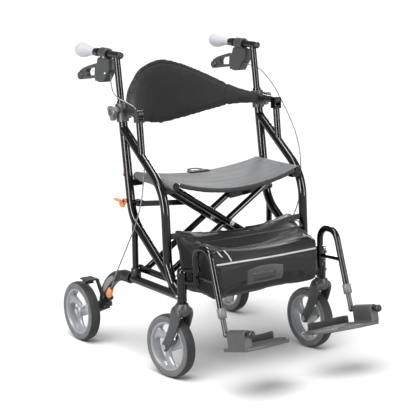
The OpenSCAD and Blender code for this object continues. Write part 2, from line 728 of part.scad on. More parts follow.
// Storage bag hung between the front tubes on four webbing tabs
module storage_bag() {
    low = bag_top_z - bag_h;
    hull() for (side = [-1, 1]) {
        translate(at(side * (frame_x - 46), bag_a0 + bag_r, bag_top_z - bag_r)) sphere(r = bag_r, $fn = 24);
        translate(at(side * (frame_x - 71), bag_a0 + bag_r, low + bag_r)) sphere(r = bag_r, $fn = 24);
        translate(at(side * (frame_x - 78), bag_a1 - 12 - bag_r, bag_front_z - bag_r)) sphere(r = bag_r, $fn = 24);
        translate(at(side * (frame_x - 80), bag_a1 - bag_r, low + bag_r)) sphere(r = bag_r, $fn = 24);
    }
    for (side = [-1, 1]) for (z = [bag_top_z - 33, bag_top_z - 157]) {
        x = frame_x - tube_d / 2 - gap;
        a = z > bag_top_z - 50 ? bag_a0 + 22.5 : bag_a0 + 53;
        tab_x = side > 0 ? frame_x - 90 : -x;
        translate(at(tab_x, a + 2, z)) cube([x - frame_x + 90, 4, 20]);
    }
}

// Hook on the right frame that holds the folded chair closed
module fold_hook() difference() {
    union() {
        bar_x(out(23.5), 7, 262, 517, 15);
        side_plate(out(23.5), 7, [
            [268, 516], [257, 497], [250, 493], [241, 494], [235, 499], [232, 509], [204, 510], [199, 514],
            [205, 517], [237, 517], [240, 513], [242, 504], [246, 501], [250, 504], [256, 519]
        ]);
    }
    bar_x(out(30), 20, 262, 517, 6 + 2 * run);
}

module left() mirror([1, 0, 0]) children();

module right_side_frame() color(black) side_frame(true);
module right_rear_arm() color(black) rear_arm();
module right_rear_axle() color(bright) rear_axle();
module right_rear_bearings() color(bright) rear_bearings();
module right_rear_tyre() color(dark) on_rear_axle() tyre();
module right_rear_rim() color(grey) on_rear_axle() rim(wheel_w, bearing_d);
module right_caster_fork() color(dark) caster_fork(caster_turn_right);
module right_front_axle() color(bright) front_axle(caster_turn_right);
module right_front_tyre() color(dark) on_front_axle(caster_turn_right) tyre();
module right_front_rim() color(grey) on_front_axle(caster_turn_right) rim(41, 10 + 2 * run);
module right_handle_post() color(black) handle_post();
module right_grip() color(pale) grip();
module right_brake_housing() color(dark) brake_housing(route_right);
module right_brake_lever() color(dark) brake_lever();
module right_height_clamp() color(dark) height_clamp();
module right_clamp_knob() color(grey) clamp_knob();
module right_backrest_arm() color(black) backrest_arm();
module right_brake_shoe_arm() color(black) brake_shoe_arm();
module right_cable_adjuster() color(orange) cable_adjuster();
module right_brake_cable() color(grey) brake_cable(route_right);
module right_footrest_hanger() color(black) footrest_hanger();
module right_footrest_leg() color(bright) footrest_leg();
module right_footplate() color(dark) footplate();
module right_heel_strap() color(black) heel_strap();
module right_ball_knob() color(black) ball_knob();
module right_stabilizer_link() color(black) stabilizer_link();
module left_side_frame() color(black) left() side_frame(false);
module left_rear_arm() color(black) left() rear_arm();
module left_rear_axle() color(bright) left() rear_axle();
module left_rear_bearings() color(bright) left() rear_bearings();
module left_rear_tyre() color(dark) left() on_rear_axle() tyre();
module left_rear_rim() color(grey) left() on_rear_axle() rim(wheel_w, bearing_d);
module left_caster_fork() color(dark) left() caster_fork(-caster_turn_left);
module left_front_axle() color(bright) left() front_axle(-caster_turn_left);
module left_front_tyre() color(dark) left() on_front_axle(-caster_turn_left) tyre();
module left_front_rim() color(grey) left() on_front_axle(-caster_turn_left) rim(41, 10 + 2 * run);
module left_handle_post() color(black) left() handle_post();
module left_grip() color(pale) left() grip();
module left_brake_housing() color(dark) left() brake_housing(route_left);
module left_brake_lever() color(dark) left() brake_lever();
module left_height_clamp() color(dark) left() height_clamp();
module left_clamp_knob() color(grey) left() clamp_knob();
module left_backrest_arm() color(black) left() backrest_arm();
module left_brake_shoe_arm() color(black) left() brake_shoe_arm();
module left_cable_adjuster() color(orange) left() cable_adjuster();
module left_brake_cable() color(grey) left() brake_cable(route_left);
module left_footrest_hanger() color(black) left() footrest_hanger();
module left_footrest_leg() color(bright) left() footrest_leg();
module left_footplate() color(dark) left() footplate();
module left_heel_strap() color(black) left() heel_strap();
module left_ball_knob() color(black) left() ball_knob();
module left_stabilizer_link() color(black) left() stabilizer_link();
module brace_1() color(black) brace(brace_1_a);
module brace_2() color(black) left() brace(brace_2_a);

right_side_frame();
right_rear_arm();
right_rear_axle();
right_rear_bearings();
right_rear_tyre();
right_rear_rim();
right_caster_fork();
right_front_axle();
right_front_tyre();
right_front_rim();
right_handle_post();
right_grip();
right_brake_housing();
right_brake_lever();
right_height_clamp();
right_clamp_knob();
right_backrest_arm();
right_brake_shoe_arm();
right_cable_adjuster();
right_brake_cable();
right_footrest_hanger();
right_footrest_leg();
right_footplate();
right_heel_strap();
right_ball_knob();
right_stabilizer_link();
left_side_frame();
left_rear_arm();
left_rear_axle();
left_rear_bearings();
left_rear_tyre();
left_rear_rim();
left_caster_fork();
left_front_axle();
left_front_tyre();
left_front_rim();
left_handle_post();
left_grip();
left_brake_housing();
left_brake_lever();
left_height_clamp();
left_clamp_knob();
left_backrest_arm();
left_brake_shoe_arm();
left_cable_adjuster();
left_brake_cable();
left_footrest_hanger();
left_footrest_leg();
left_footplate();
left_heel_strap();
left_ball_knob();
left_stabilizer_link();
brace_1();
brace_2();
color(bright) brace_bolts();
color(cloth) seat_sling();
color(black) pull_strap();
color(dark) backrest_pad();
color(black) storage_bag();
color(orange) fold_hook();
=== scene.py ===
"""Rollator transport chair: materials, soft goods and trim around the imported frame."""
import json
import math

import bmesh
import bpy
from mathutils import Matrix, Vector, noise


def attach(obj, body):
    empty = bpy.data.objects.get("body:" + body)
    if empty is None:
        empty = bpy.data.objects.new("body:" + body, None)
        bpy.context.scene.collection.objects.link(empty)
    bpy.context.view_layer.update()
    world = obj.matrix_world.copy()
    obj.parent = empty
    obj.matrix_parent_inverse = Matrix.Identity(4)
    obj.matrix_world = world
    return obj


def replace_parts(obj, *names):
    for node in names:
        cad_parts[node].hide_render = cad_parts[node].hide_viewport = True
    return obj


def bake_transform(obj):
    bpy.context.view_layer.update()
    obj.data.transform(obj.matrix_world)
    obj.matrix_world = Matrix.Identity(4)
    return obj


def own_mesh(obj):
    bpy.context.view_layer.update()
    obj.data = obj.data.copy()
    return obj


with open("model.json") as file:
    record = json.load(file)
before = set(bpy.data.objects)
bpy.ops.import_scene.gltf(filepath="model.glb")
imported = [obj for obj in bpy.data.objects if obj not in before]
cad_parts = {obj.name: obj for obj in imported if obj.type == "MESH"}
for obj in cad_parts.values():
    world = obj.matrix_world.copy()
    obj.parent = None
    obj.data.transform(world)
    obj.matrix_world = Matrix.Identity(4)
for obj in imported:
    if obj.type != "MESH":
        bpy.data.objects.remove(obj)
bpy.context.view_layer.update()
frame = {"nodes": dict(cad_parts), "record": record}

MM = 0.001
# In mm: where the rear axle lies along Y, and how far out the pieces of each side lie
REAR_Y = 397.5545
FRAME_X, BRACE_X, WHEEL_X, STEM_X, FOOT_X = 265.0, 234.0, 305.0, 270.0, 240.0
SIGN = {"right": -1, "left": 1}
UP = Vector((0, 0, 1))


def at(x, a, z):
    """Point from crosswise place, distance ahead of the rear axle and height, in mm."""
    return Vector((x * MM, (REAR_Y - a) * MM, z * MM))


# Numbers and settings

def spread(first, last, steps):
    return [first + (last - first) * k / steps for k in range(steps + 1)]


def angles(n):
    return [2 * math.pi * k / n for k in range(n)]


def clamp(v, low, high):
    return min(max(v, low), high)


def lobe(v, e):
    return math.copysign(abs(v) ** e, v)


def put(target, **values):
    """Sets several attributes of one thing."""
    for key, value in values.items():
        setattr(target, key, value)
    return target


# Paths

def heading(points, i):
    return (points[min(i + 1, len(points) - 1)] - points[max(i - 1, 0)]).normalized()


def spline(points, steps, closed=False):
    """Smooth curve through points."""
    p = [Vector(q) for q in points]
    n = len(p)
    out = []
    for i in range(n if closed else n - 1):
        near = [(i + j) % n if closed else clamp(i + j, 0, n - 1) for j in (-1, 0, 1, 2)]
        a, b, c, d = (p[j] for j in near)
        for k in range(steps):
            t = k / steps
            out.append((2 * b + (c - a) * t + (2 * a - 5 * b + 4 * c - d) * t * t
                        + (3 * b - a - 3 * c + d) * t ** 3) / 2)
    return out if closed else out + [p[-1]]


def resampled(path, step):
    out = [path[0]]
    for p in path[1:]:
        while (p - out[-1]).length > step:
            out.append(out[-1] + (p - out[-1]).normalized() * step)
    return out


# Parts: vertices with faces

def loft(rings, closed=False):
    """Skin over equal rings; closed joins the last ring to the first, else both ends are capped."""
    n, m = len(rings[0]), len(rings)
    verts = [v for r in rings for v in r]
    faces = []
    for i in range(m if closed else m - 1):
        j = (i + 1) % m
        for k in range(n):
            after = (k + 1) % n
            faces.append((i * n + k, j * n + k, j * n + after, i * n + after))
    if not closed:
        faces += [tuple(range(n)), tuple((m - 1) * n + k for k in reversed(range(n)))]
    return verts, faces


def joined(parts):
    verts, faces = [], []
    for v, f in parts:
        base = len(verts)
        verts += list(v)
        faces += [tuple(i + base for i in q) for q in f]
    return verts, faces


def moved(part, matrix):
    return [matrix @ v for v in part[0]], part[1]


def sided(side, part):
    """The right side's part, or its mirror image for the left side."""
    if side == "right":
        return part
    return [Vector((-v.x, v.y, v.z)) for v in part[0]], [tuple(reversed(f)) for f in part[1]]


def grid_faces(m, n):
    return [(i * n + k, i * n + k + 1, (i + 1) * n + k + 1, (i + 1) * n + k)
            for i in range(m - 1) for k in range(n - 1)]


def slab(rows, shift):
    """Thin closed panel: a grid of points, its copy moved by shift, and a wall round both."""
    m, n = len(rows), len(rows[0])
    verts = [p for row in rows for p in row]
    base = len(verts)
    front = grid_faces(m, n)
    back = [tuple(i + base for i in reversed(q)) for q in front]
    rim = list(range(n)) + [i * n + n - 1 for i in range(1, m)]
    rim += [(m - 1) * n + k for k in reversed(range(n - 1))] + [i * n for i in reversed(range(1, m - 1))]
    walls = [(rim[i - 1], rim[i], rim[i] + base, rim[i - 1] + base) for i in range(len(rim))]
    return verts + [v + shift for v in verts], front + back + walls


def tube(points, radius, sides):
    """Round tube along points; radius may be a function of the share of the way along."""
    last = len(points) - 1
    rings = []
    normal = None
    for i, p in enumerate(points):
        d = heading(points, i)
        if normal is None:
            normal = d.cross(UP if abs(d.z) < 0.9 else Vector((1, 0, 0))).normalized()
        normal = (normal - d * normal.dot(d)).normalized()
        other = d.cross(normal)
        r = radius(i / last) if callable(radius) else radius
        rings.append([p + r * (math.cos(q) * normal + math.sin(q) * other) for q in angles(sides)])
    return loft(rings)


def band(points, half, thick, out):
    """Flat strap along points; half, its half width, and out, its outward direction, may vary along it."""
    rings = []
    for i, p in enumerate(points):
        w = half[i] if isinstance(half, list) else half
        t = (out[i] if isinstance(out, list) else out) * (thick / 2)
        e = w.normalized() * (thick * 0.35)
        rings.append([p - w + t * 0.4, p - w + e + t, p + w - e + t, p + w + t * 0.4,
                      p + w - t * 0.4, p + w - e - t, p - w + e - t, p - w - t * 0.4])
    return loft(rings)


def lathe(profile, seg, unit=MM):
    """Closed profile of (radius, along) turned about the Z axis."""
    return loft([[Vector((r * unit * math.cos(q), r * unit * math.sin(q), z * unit)) for r, z in profile]
                 for q in angles(seg)], closed=True)


def stitches(path, pitch, length, radius):
    """Row of short thread stitches along a path."""
    parts = []
    start, run = path[0], 0.0
    for p, q in zip(path, path[1:]):
        run += (q - p).length
        if run >= pitch:
            d = (q - start).normalized()
            thread = [start + d * (length * share) for share in (0, 0.15, 0.5, 0.85, 1)]
            parts.append(tube(thread, lambda t: radius * (0.35 + 0.65 * math.sin(math.pi * t)), 5))
            start, run = q, 0.0
    return joined(parts)


# Objects

def linked(name, data):
    obj = bpy.data.objects.new(name, data)
    bpy.context.scene.collection.objects.link(obj)
    return obj


def shade(obj, sharp=None):
    """Smooth shading, with edges kept sharp above an angle in degrees."""
    mesh = obj.data
    mesh.polygons.foreach_set("use_smooth", [True] * len(mesh.polygons))
    if sharp:
        mesh.set_sharp_from_angle(angle=math.radians(sharp))
    mesh.update()


def new_object(name, part, material=None, sharp=None):
    mesh = bpy.data.meshes.new(name)
    mesh.from_pydata([tuple(v) for v in part[0]], [], part[1])
    bm = bmesh.new()
    bm.from_mesh(mesh)
    bmesh.ops.recalc_face_normals(bm, faces=bm.faces)
    bm.to_mesh(mesh)
    bm.free()
    obj = linked(name, mesh)
    shade(obj, sharp)
    if material:
        mesh.materials.append(material)
    return obj


def evaluated(obj):
    deps = bpy.context.evaluated_depsgraph_get()
    deps.update()
    return bpy.data.meshes.new_from_object(obj.evaluated_get(deps))


def settle(obj):
    """Applies every modifier on a piece."""
    mesh = evaluated(obj)
    old = obj.data
    obj.modifiers.clear()
    obj.data = mesh
    if old.users == 0:
        bpy.data.meshes.remove(old)


def modified(obj, kind, **settings):
    return put(obj.modifiers.new(kind.title(), kind), **settings)


def remeshed(obj, voxel):
    modified(obj, "REMESH", mode="VOXEL", voxel_size=voxel)
    settle(obj)


def stuffed(name, part, voxel, pressure, cap):
    """Closed shape made into stuffed cloth with a fine mesh."""
    obj = new_object(name, part)
    remeshed(obj, voxel)
    swell(obj, pressure, cap)
    modified(obj, "SUBSURF", levels=1, render_levels=1)
    settle(obj)
    obj.data.update()
    return obj


def worked(obj, place):
    """Moves each vertex to the place that its own place and normal give."""
    normals = [v.normal.copy() for v in obj.data.vertices]
    for v, n in zip(obj.data.vertices, normals):
        v.co = place(v.co, n)


def dressed(obj, weave, material):
    weave_coords(obj, weave)
    obj.data.materials.append(material)
    shade(obj)
    return obj


def swell(obj, pressure, cap, frames=20):
    """Blows up a closed mesh as cloth under pressure, and caps how far each point moves."""
    scene = bpy.context.scene
    cloth = modified(obj, "CLOTH")
    put(cloth.settings, quality=5, mass=0.25, tension_stiffness=12, compression_stiffness=6,
        shear_stiffness=5, bending_stiffness=0.6, use_pressure=True, uniform_pressure_force=pressure)
    cloth.settings.effector_weights.gravity = 0
    cloth.collision_settings.use_collision = False
    put(cloth.point_cache, frame_start=1, frame_end=frames + 1)
    for f in range(1, frames + 1):
        scene.frame_set(f)
    mesh = evaluated(obj)
    after = [v.co.copy() for v in mesh.vertices]
    bpy.data.meshes.remove(mesh)
    obj.modifiers.clear()
    scene.frame_set(1)
    for v, place in zip(obj.data.vertices, after):
        d = place - v.co
        if d.length > cap:
            d *= cap / d.length
        v.co += d
    obj.data.update()


def weave_coords(obj, place):
    """Stores cloth coordinates in metres, for weaves that follow the cloth."""
    layer = obj.data.attributes.new("cloth", "FLOAT_VECTOR", "POINT")
    values = []
    for v in obj.data.vertices:
        values += [*place(v.co, v.normal), 0.0]
    layer.data.foreach_set("vector", values)


def from_above(co, _):
    return co.x, co.y


def from_front(co, _):
    return co.x, co.z


def flat_place(co, normal):
    """Cloth coordinates of a boxy bag, taken across its nearest face."""
    x, y, z = (abs(c) for c in normal)
    if z >= max(x, y):
        return co.x, co.y
    return (co.x if y >= x else co.y), co.z


# Materials

class Shader:
    """A Principled material with its nodes."""

    def __init__(self, name, rough, metallic=0.0, specular=0.5, coat=0.0, coat_rough=0.1, sheen=0.0,
                 sheen_rough=0.4):
        self.mat = put(bpy.data.materials.new(name), use_nodes=True)
        self.tree = self.mat.node_tree
        self.bsdf = self.tree.nodes["Principled BSDF"]
        self.fill(self.bsdf, {
            "Roughness": rough, "Metallic": metallic, "Specular IOR Level": specular, "Coat Weight": coat,
            "Coat Roughness": coat_rough, "Sheen Weight": sheen, "Sheen Roughness": sheen_rough})
        self.coords = self.node("TexCoord", "Object")

    def fill(self, node, inputs):
        """Sets a node's inputs, or links them to other nodes' outputs."""
        for key, value in inputs.items():
            if hasattr(value, "is_output"):
                self.tree.links.new(value, node.inputs[key])
            else:
                node.inputs[key].default_value = value

    def node(self, kind, output, inputs=None, **settings):
        """One output of a new node."""
        node = put(self.tree.nodes.new("ShaderNode" + kind), **settings)
        self.fill(node, inputs or {})
        return node.outputs[output]

    def noise(self, scale, detail, vector=None):
        return self.node("TexNoise", "Fac", {
            "Vector": vector or self.coords, "Scale": scale, "Detail": detail, "Roughness": 0.55})

    def math(self, op, a, b=0.0):
        return self.node("Math", 0, {0: a, 1: b}, operation=op)

    def range(self, value, a, b, c, d):
        return self.node("MapRange", "Result", {
            "Value": value, "From Min": a, "From Max": b, "To Min": c, "To Max": d})

    def mix(self, share, a, b):
        a, b = (c if hasattr(c, "is_output") else (*c, 1.0) for c in (a, b))
        return self.node("Mix", 2, {0: share, 6: a, 7: b}, data_type="RGBA")

    def bump(self, height, strength, distance, normal=None):
        under = {} if normal is None else {"Normal": normal}
        return self.node("Bump", "Normal", {
            "Height": height, "Strength": strength, "Distance": distance, **under})

    def round_edges(self, radius):
        return self.node("Bevel", "Normal", {"Radius": radius}, samples=4)

    def edge_mask(self, rounded):
        flat = self.node("NewGeometry", "Normal")
        match = self.node("VectorMath", "Value", {0: rounded, 1: flat}, operation="DOT_PRODUCT")
        return self.range(match, 0.80, 0.985, 1.0, 0.0)

    def done(self, color, rough, normal):
        self.fill(self.bsdf, {"Base Color": color, "Roughness": rough, "Normal": normal})
        return self.mat


def tint(c, k):
    return tuple(min(v * k, 1.0) for v in c)


def hard(name, base, rough, grain, edge, wear=None, vary=0.12, scale=22, **shader):
    """Painted, plated or moulded finish: uneven tone, fine grain, rounded and rubbed edges.

    grain is its scale, strength and depth; edge is the radius in metres; wear is the rubbed tone.
    """
    s = Shader(name, rough, **shader)
    cloud = s.noise(scale, 5.0)
    tone = s.mix(s.range(cloud, 0.3, 0.7, 0.0, 1.0), tint(base, 1 - vary), tint(base, 1 + vary))
    rounded = s.round_edges(edge) if edge else None
    if wear:
        patchy = s.range(s.noise(140, 3.0), 0.42, 0.66, 0.0, 0.6)
        tone = s.mix(s.math("MULTIPLY", s.edge_mask(rounded), patchy), tone, wear)
    polish = s.range(s.noise(scale * 3, 4.0), 0.3, 0.7, max(rough - 0.07, 0.02), rough + 0.07)
    return s.done(tone, polish, s.bump(s.noise(grain[0], 2.0), grain[1], grain[2], rounded))


def woven(name, dark, light, pitch, rough, sheen, depth=0.0006, blotch=0.25, strength=0.6):
    """Plain weave in the cloth's own coordinates, with uneven dye and a soft nap."""
    s = Shader(name, rough, specular=0.25, sheen=sheen, sheen_rough=0.45)
    uv = s.node("Attribute", "Vector", attribute_name="cloth")
    warp, weft = (s.math("SINE", s.math("MULTIPLY", s.node("SeparateXYZ", i, {0: uv}), math.pi / pitch))
                  for i in (0, 1))
    over = s.math("MULTIPLY", warp, weft)
    fibre = s.noise(1.2 / pitch, 2.0, uv)
    cloud = s.noise(9, 5.0)
    base = s.mix(s.range(over, -1.0, 1.0, 0.0, 1.0), dark, light)
    tone = s.mix(s.range(cloud, 0.3, 0.72, 0.0, blotch), base, tint(light, 1.5))
    height = s.math("ADD", s.math("MULTIPLY", over, 0.6), s.math("MULTIPLY", fibre, 0.6))
    return s.done(tone, s.range(cloud, 0.25, 0.75, rough - 0.1, min(rough + 0.08, 1.0)),
                  s.bump(height, strength, depth, s.bump(s.noise(60, 4.0), 0.25, 0.0015)))


def rubber(name, low, high):
    """Tyre rubber: dusty tone, fine mould grain and scuffs."""
    s = Shader(name, 0.72, specular=0.35, sheen=0.15)
    dust = s.noise(35, 6.0)
    base = s.mix(s.range(dust, 0.35, 0.68, 0.0, 1.0), low, high)
    scuff = s.range(s.noise(220, 3.0), 0.55, 0.7, 0.0, 0.3)
    return s.done(s.mix(scuff, base, tint(high, 1.5)), s.range(dust, 0.3, 0.7, 0.6, 0.82),
                  s.bump(s.noise(1500, 3.0), 0.25, 0.0003, s.round_edges(0.0006)))


MATS = {
    "frame_black": hard("gloss_black_paint", (0.003, 0.003, 0.0034), 0.13, (650, 0.03, 0.0003), 0.001,
                        (0.04, 0.04, 0.043), specular=0.3, coat=0.12, coat_rough=0.04, scale=9),
    "black_plastic": hard("moulded_black", (0.011, 0.011, 0.012), 0.4, (1500, 0.2, 0.0002), 0.002,
                          (0.06, 0.06, 0.062), specular=0.4),
    "bright_steel": hard("plated_steel", (0.42, 0.43, 0.45), 0.28, (900, 0.04, 0.0002), 0.0007,
                         (0.85, 0.85, 0.87), vary=0.08, metallic=1.0),
    "rim_grey": hard("silver_moulded", (0.34, 0.352, 0.372), 0.36, (1800, 0.06, 0.0002), 0.0015,
                     (0.55, 0.56, 0.58), vary=0.07, metallic=0.25),
    "grip_pale": hard("pale_soft_grip", (0.56, 0.565, 0.61), 0.5, (1100, 0.25, 0.0004), 0.0012,
                      (0.68, 0.68, 0.7), vary=0.05, sheen=0.15),
    "dark_plastic": hard("charcoal_moulded", (0.05, 0.051, 0.053), 0.42, (1400, 0.22, 0.0003), 0.0022,
                         (0.17, 0.17, 0.175), specular=0.45),
    "grey_plastic": hard("grey_moulded", (0.16, 0.163, 0.17), 0.42, (1400, 0.2, 0.0003), 0.0022,
                         (0.36, 0.36, 0.37)),
    "orange_plastic": hard("orange_moulded", (0.9, 0.27, 0.07), 0.36, (1300, 0.12, 0.0003), 0.0015,
                           (0.95, 0.5, 0.25), vary=0.08),
    "cable_grey": hard("cable_sheath", (0.2, 0.203, 0.208), 0.42, (2500, 0.15, 0.0002), 0),
    "tyre": rubber("tyre_sidewall", (0.105, 0.107, 0.11), (0.17, 0.172, 0.176)),
    "seat_cloth": woven("seat_weave", (0.075, 0.077, 0.08), (0.19, 0.194, 0.2), 0.0016, 0.75, 0.3,
                        blotch=0.3),
    "pad_cloth": woven("pad_weave", (0.011, 0.011, 0.012), (0.028, 0.028, 0.03), 0.0013, 0.92, 0.12, 0.0004),
    "bag_nylon": woven("bag_weave", (0.003, 0.003, 0.0034), (0.01, 0.01, 0.011), 0.0011, 0.5, 0.06, 0.0003),
    "black_webbing": woven("webbing_weave", (0.012, 0.012, 0.013), (0.042, 0.042, 0.045), 0.0021, 0.7, 0.25,
                           depth=0.0008, strength=0.8),
}
LEG = hard("dark_plated_steel", (0.07, 0.072, 0.076), 0.4, (900, 0.04, 0.0002), 0.0007, vary=0.08,
           metallic=1.0)
LEVER = hard("lever_grey", (0.036, 0.037, 0.039), 0.46, (1400, 0.2, 0.0003), 0.002, (0.28, 0.28, 0.29))
PLATE = hard("plate_grey", (0.066, 0.067, 0.07), 0.52, (900, 0.3, 0.0004), 0.002, (0.3, 0.3, 0.31))
TREAD = rubber("tyre_tread", (0.014, 0.014, 0.0145), (0.034, 0.034, 0.035))
HEM = woven("hem_weave", (0.012, 0.012, 0.013), (0.04, 0.041, 0.043), 0.0016, 0.75, 0.3)
POCKET = woven("pocket_mesh", (0.014, 0.014, 0.015), (0.085, 0.086, 0.09), 0.0022, 0.7, 0.3, depth=0.0008,
               blotch=0.8)
PIPING = hard("reflective_piping", (0.5, 0.505, 0.515), 0.5, (1500, 0.25, 0.0003), 0, vary=0.06,
              metallic=0.2)
THREAD = hard("sewing_thread", (0.1, 0.1, 0.105), 0.7, (4000, 0.4, 0.0002), 0)
INSET = hard("grey_inset", (0.25, 0.254, 0.26), 0.55, (700, 0.4, 0.0005), 0)
PATCH = hard("bare_patch", (0.012, 0.012, 0.013), 0.45, (1500, 0.2, 0.0003), 0.0008)

# Nodes whose look differs from that of their slot
OTHER_LOOKS = {"brake_shoe_arm": MATS["black_plastic"], "footrest_leg": LEG}
for row in frame["record"]["subparts"]:
    cad = frame["nodes"].get(row["node"])
    look = OTHER_LOOKS.get(row["node"].split("_", 1)[-1]) or MATS.get(row["material_slot"])
    if cad is not None and look:
        cad.data.materials.clear()
        cad.data.materials.append(look)


def riding(obj, body):
    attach(obj, body)
    return obj


def piece(name, part, slot, body, material=None, sharp=None):
    """New piece from vertices and faces, in the material of its slot, riding on a body."""
    return riding(new_object(name, part, material or MATS[slot], sharp), body)


# Camera, floor and light

CAMERA_AT, LENS = (-2.6543, -3.8362, 1.4537), 128.52
AZIMUTH, ELEVATION, ROLL = math.radians(-34.1), math.radians(11.78), math.radians(-0.57)
FLOOR = 70
# Strips of light that show only as highlights: name, place, width and power
STRIPS = (("key_left", (-2.9, -0.9, 1.5), 0.75, 170), ("fill_front", (1.3, -3.6, 1.5), 0.7, 150),
          ("rim_back", (2.2, 2.2, 1.9), 0.7, 130), ("top_strip", (-0.6, -0.5, 3.2), 0.6, 110))
STRIP_HIGH, STRIP_AIM = 2.5, Vector((0, 0, 0.6))


def place_camera():
    cam = put(bpy.data.cameras.new("camera"), lens=LENS, sensor_fit="HORIZONTAL", sensor_width=36.0,
              clip_end=300)
    level = math.cos(ELEVATION)
    back = Vector((math.sin(AZIMUTH) * level, -math.cos(AZIMUTH) * level, math.sin(ELEVATION)))
    right = (-back).cross(UP).normalized()
    up = right.cross(-back)
    r = right * math.cos(ROLL) + up * math.sin(ROLL)
    u = up * math.cos(ROLL) - right * math.sin(ROLL)
    turn = Matrix((r, u, back)).transposed().to_4x4()
    bpy.context.scene.camera = put(linked("camera", cam), matrix_world=Matrix.Translation(CAMERA_AT) @ turn)


def studio():
    scene = bpy.context.scene
    scene.world = put(bpy.data.worlds.new("studio"), use_nodes=True)
    sky = scene.world.node_tree.nodes["Background"]
    sky.inputs["Color"].default_value = (1.0, 1.0, 1.0, 1.0)
    sky.inputs["Strength"].default_value = 0.4
    scene.view_settings.view_transform = "Standard"
    sun = put(bpy.data.lights.new("overhead", "SUN"), energy=3.4, angle=math.radians(50))
    put(linked("overhead", sun), rotation_euler=(math.radians(14), math.radians(-22), 0),
        visible_glossy=False)
    for name, place, width, power in STRIPS:
        light = put(bpy.data.lights.new(name, "AREA"), shape="RECTANGLE", size=width, size_y=STRIP_HIGH,
                    energy=power)
        turn = (STRIP_AIM - Vector(place)).normalized().to_track_quat("-Z", "Y").to_matrix().to_4x4()
        put(linked(name, light), matrix_world=Matrix.Translation(place) @ turn, visible_diffuse=False)
    corners = [(-FLOOR, -FLOOR, 0), (FLOOR, -FLOOR, 0), (FLOOR, FLOOR, 0), (-FLOOR, FLOOR, 0)]
    s = Shader("pale_floor", 0.9, specular=0.1)
    s.fill(s.bsdf, {"Base Color": s.mix(s.noise(0.6, 3.0), (0.86, 0.86, 0.86), (0.88, 0.88, 0.88))})
    new_object("floor", (corners, [(0, 1, 2, 3)]), s.mat)


place_camera()
studio()


# Tyres and rims

# Outer side of a tyre's section, as radius and half width; the running surface is an arc
CROWN = [(77.0, 17.2), (80.0, 18.0), (84.5, 18.0), (85.5, 18.5), (88.0, 18.5), (89.0, 18.0), (93.2, 17.9),
         (95.2, 17.2)]
ARC_AT, ARC_R, ARC_HALF = 60, 40, 16.6
TREAD_R, TREAD_PAINT = 95.0, 0.0951
BARREL = [(77.0, -14.5), (77.4, -16.0), (76.4, -17.2), (73.6, -17.6), (71.2, -16.6), (69.8, -13.0),
          (68.8, -6.0), (68.6, 0.0)]
# Rear and front wheels: half length of the hub, bore and depth of the tread
WHEELS = {"rear": (18.0, 13.0, 1.3), "front": (20.5, 5.2, 0.8)}


def tyre_part(depth, seg=336, chevrons=84):
    half = list(CROWN)
    for k in range(1, 14):
        z = ARC_HALF * (1 - k / 13)
        half.append((ARC_AT + math.sqrt(ARC_R ** 2 - z * z), z))
    profile = [(r, -z) for r, z in half] + half[-2::-1] + [(76.2, 12.0), (76.2, -12.0)]
    rings = []
    for i, q in enumerate(angles(seg)):
        ring = []
        for r, z in profile:
            phase = (i * chevrons / seg + abs(z) * 0.16) % 1.0
            cut = phase < 0.3 and abs(z) > 2.6
            rib = abs(abs(z) - 8.9) < 0.7
            if r > TREAD_R and (cut or rib):
                r -= depth
            ring.append(Vector((r * math.cos(q), r * math.sin(q), z)) * MM)
        rings.append(ring)
    return loft(rings, closed=True)


def paint_tread(obj, inverse):
    """Gives the running surface its darker rubber."""
    obj.data.materials.append(TREAD)
    for face in obj.data.polygons:
        c = inverse @ face.center
        face.material_index = int(math.hypot(c.x, c.y) > TREAD_PAINT)


def spoke_edge(rho, cx, cy, rad):
    """Angle at which a circle of radius rho meets the arc that bounds a spoke."""
    c = math.hypot(cx, cy)
    k = (rho * rho + c * c - rad * rad) / (2 * rho * c)
    return math.atan2(cy, cx) + math.acos(clamp(k, -1.0, 1.0))


def rim_part(half_hub, bore):
    barrel = BARREL + [(r, -z) for r, z in BARREL[-2::-1]]
    hub = [(bore, -half_hub), (15.6, -half_hub), (17.4, 1.4 - half_hub), (18.2, 4 - half_hub), (19.0, -9)]
    hub += [(r, -z) for r, z in reversed(hub)]
    parts = [lathe(barrel, 128), lathe(hub, 64)]
    for turn in angles(3):
        rings = []
        for rho in spread(15.0, 71.0, 24):
            hi = spoke_edge(rho, 34, -44, 66)
            lo = spoke_edge(rho, 12, -58, 60)
            flare = max(0.0, (rho - 52) / 19) ** 2
            mid = (hi + lo) / 2
            wide = max(abs(hi - lo) / 2, 8.0 / rho) + flare * 0.10
            ring = []
            for side in (1, -1):
                for j in range(9):
                    t = side * (1 - 2 * j / 8)
                    h = 2.4 + (4.6 + 4.0 * flare) * (1 - abs(t) ** 5) - 1.5 * math.exp(-(t / 0.3) ** 2)
                    phi = mid + wide * t + turn
                    ring.append(Vector((rho * math.cos(phi), rho * math.sin(phi), side * h)) * MM)
            rings.append(ring)
        parts.append(loft(rings))
    return joined(parts)


# How far each caster is turned, where the stems stand and how far the axles trail behind them
TURN = {"right": math.radians(8), "left": math.radians(3)}
STEM_A, TRAIL = 566.0, 55.0
LIE = Matrix.Rotation(math.pi / 2, 4, "Y")
OUTWARD = Matrix.Rotation(-math.pi / 2, 4, "Y")


def caster_matrix(side):
    return Matrix.Translation(at(SIGN[side] * STEM_X, STEM_A, 0)) @ Matrix.Rotation(TURN[side], 4, "Z")


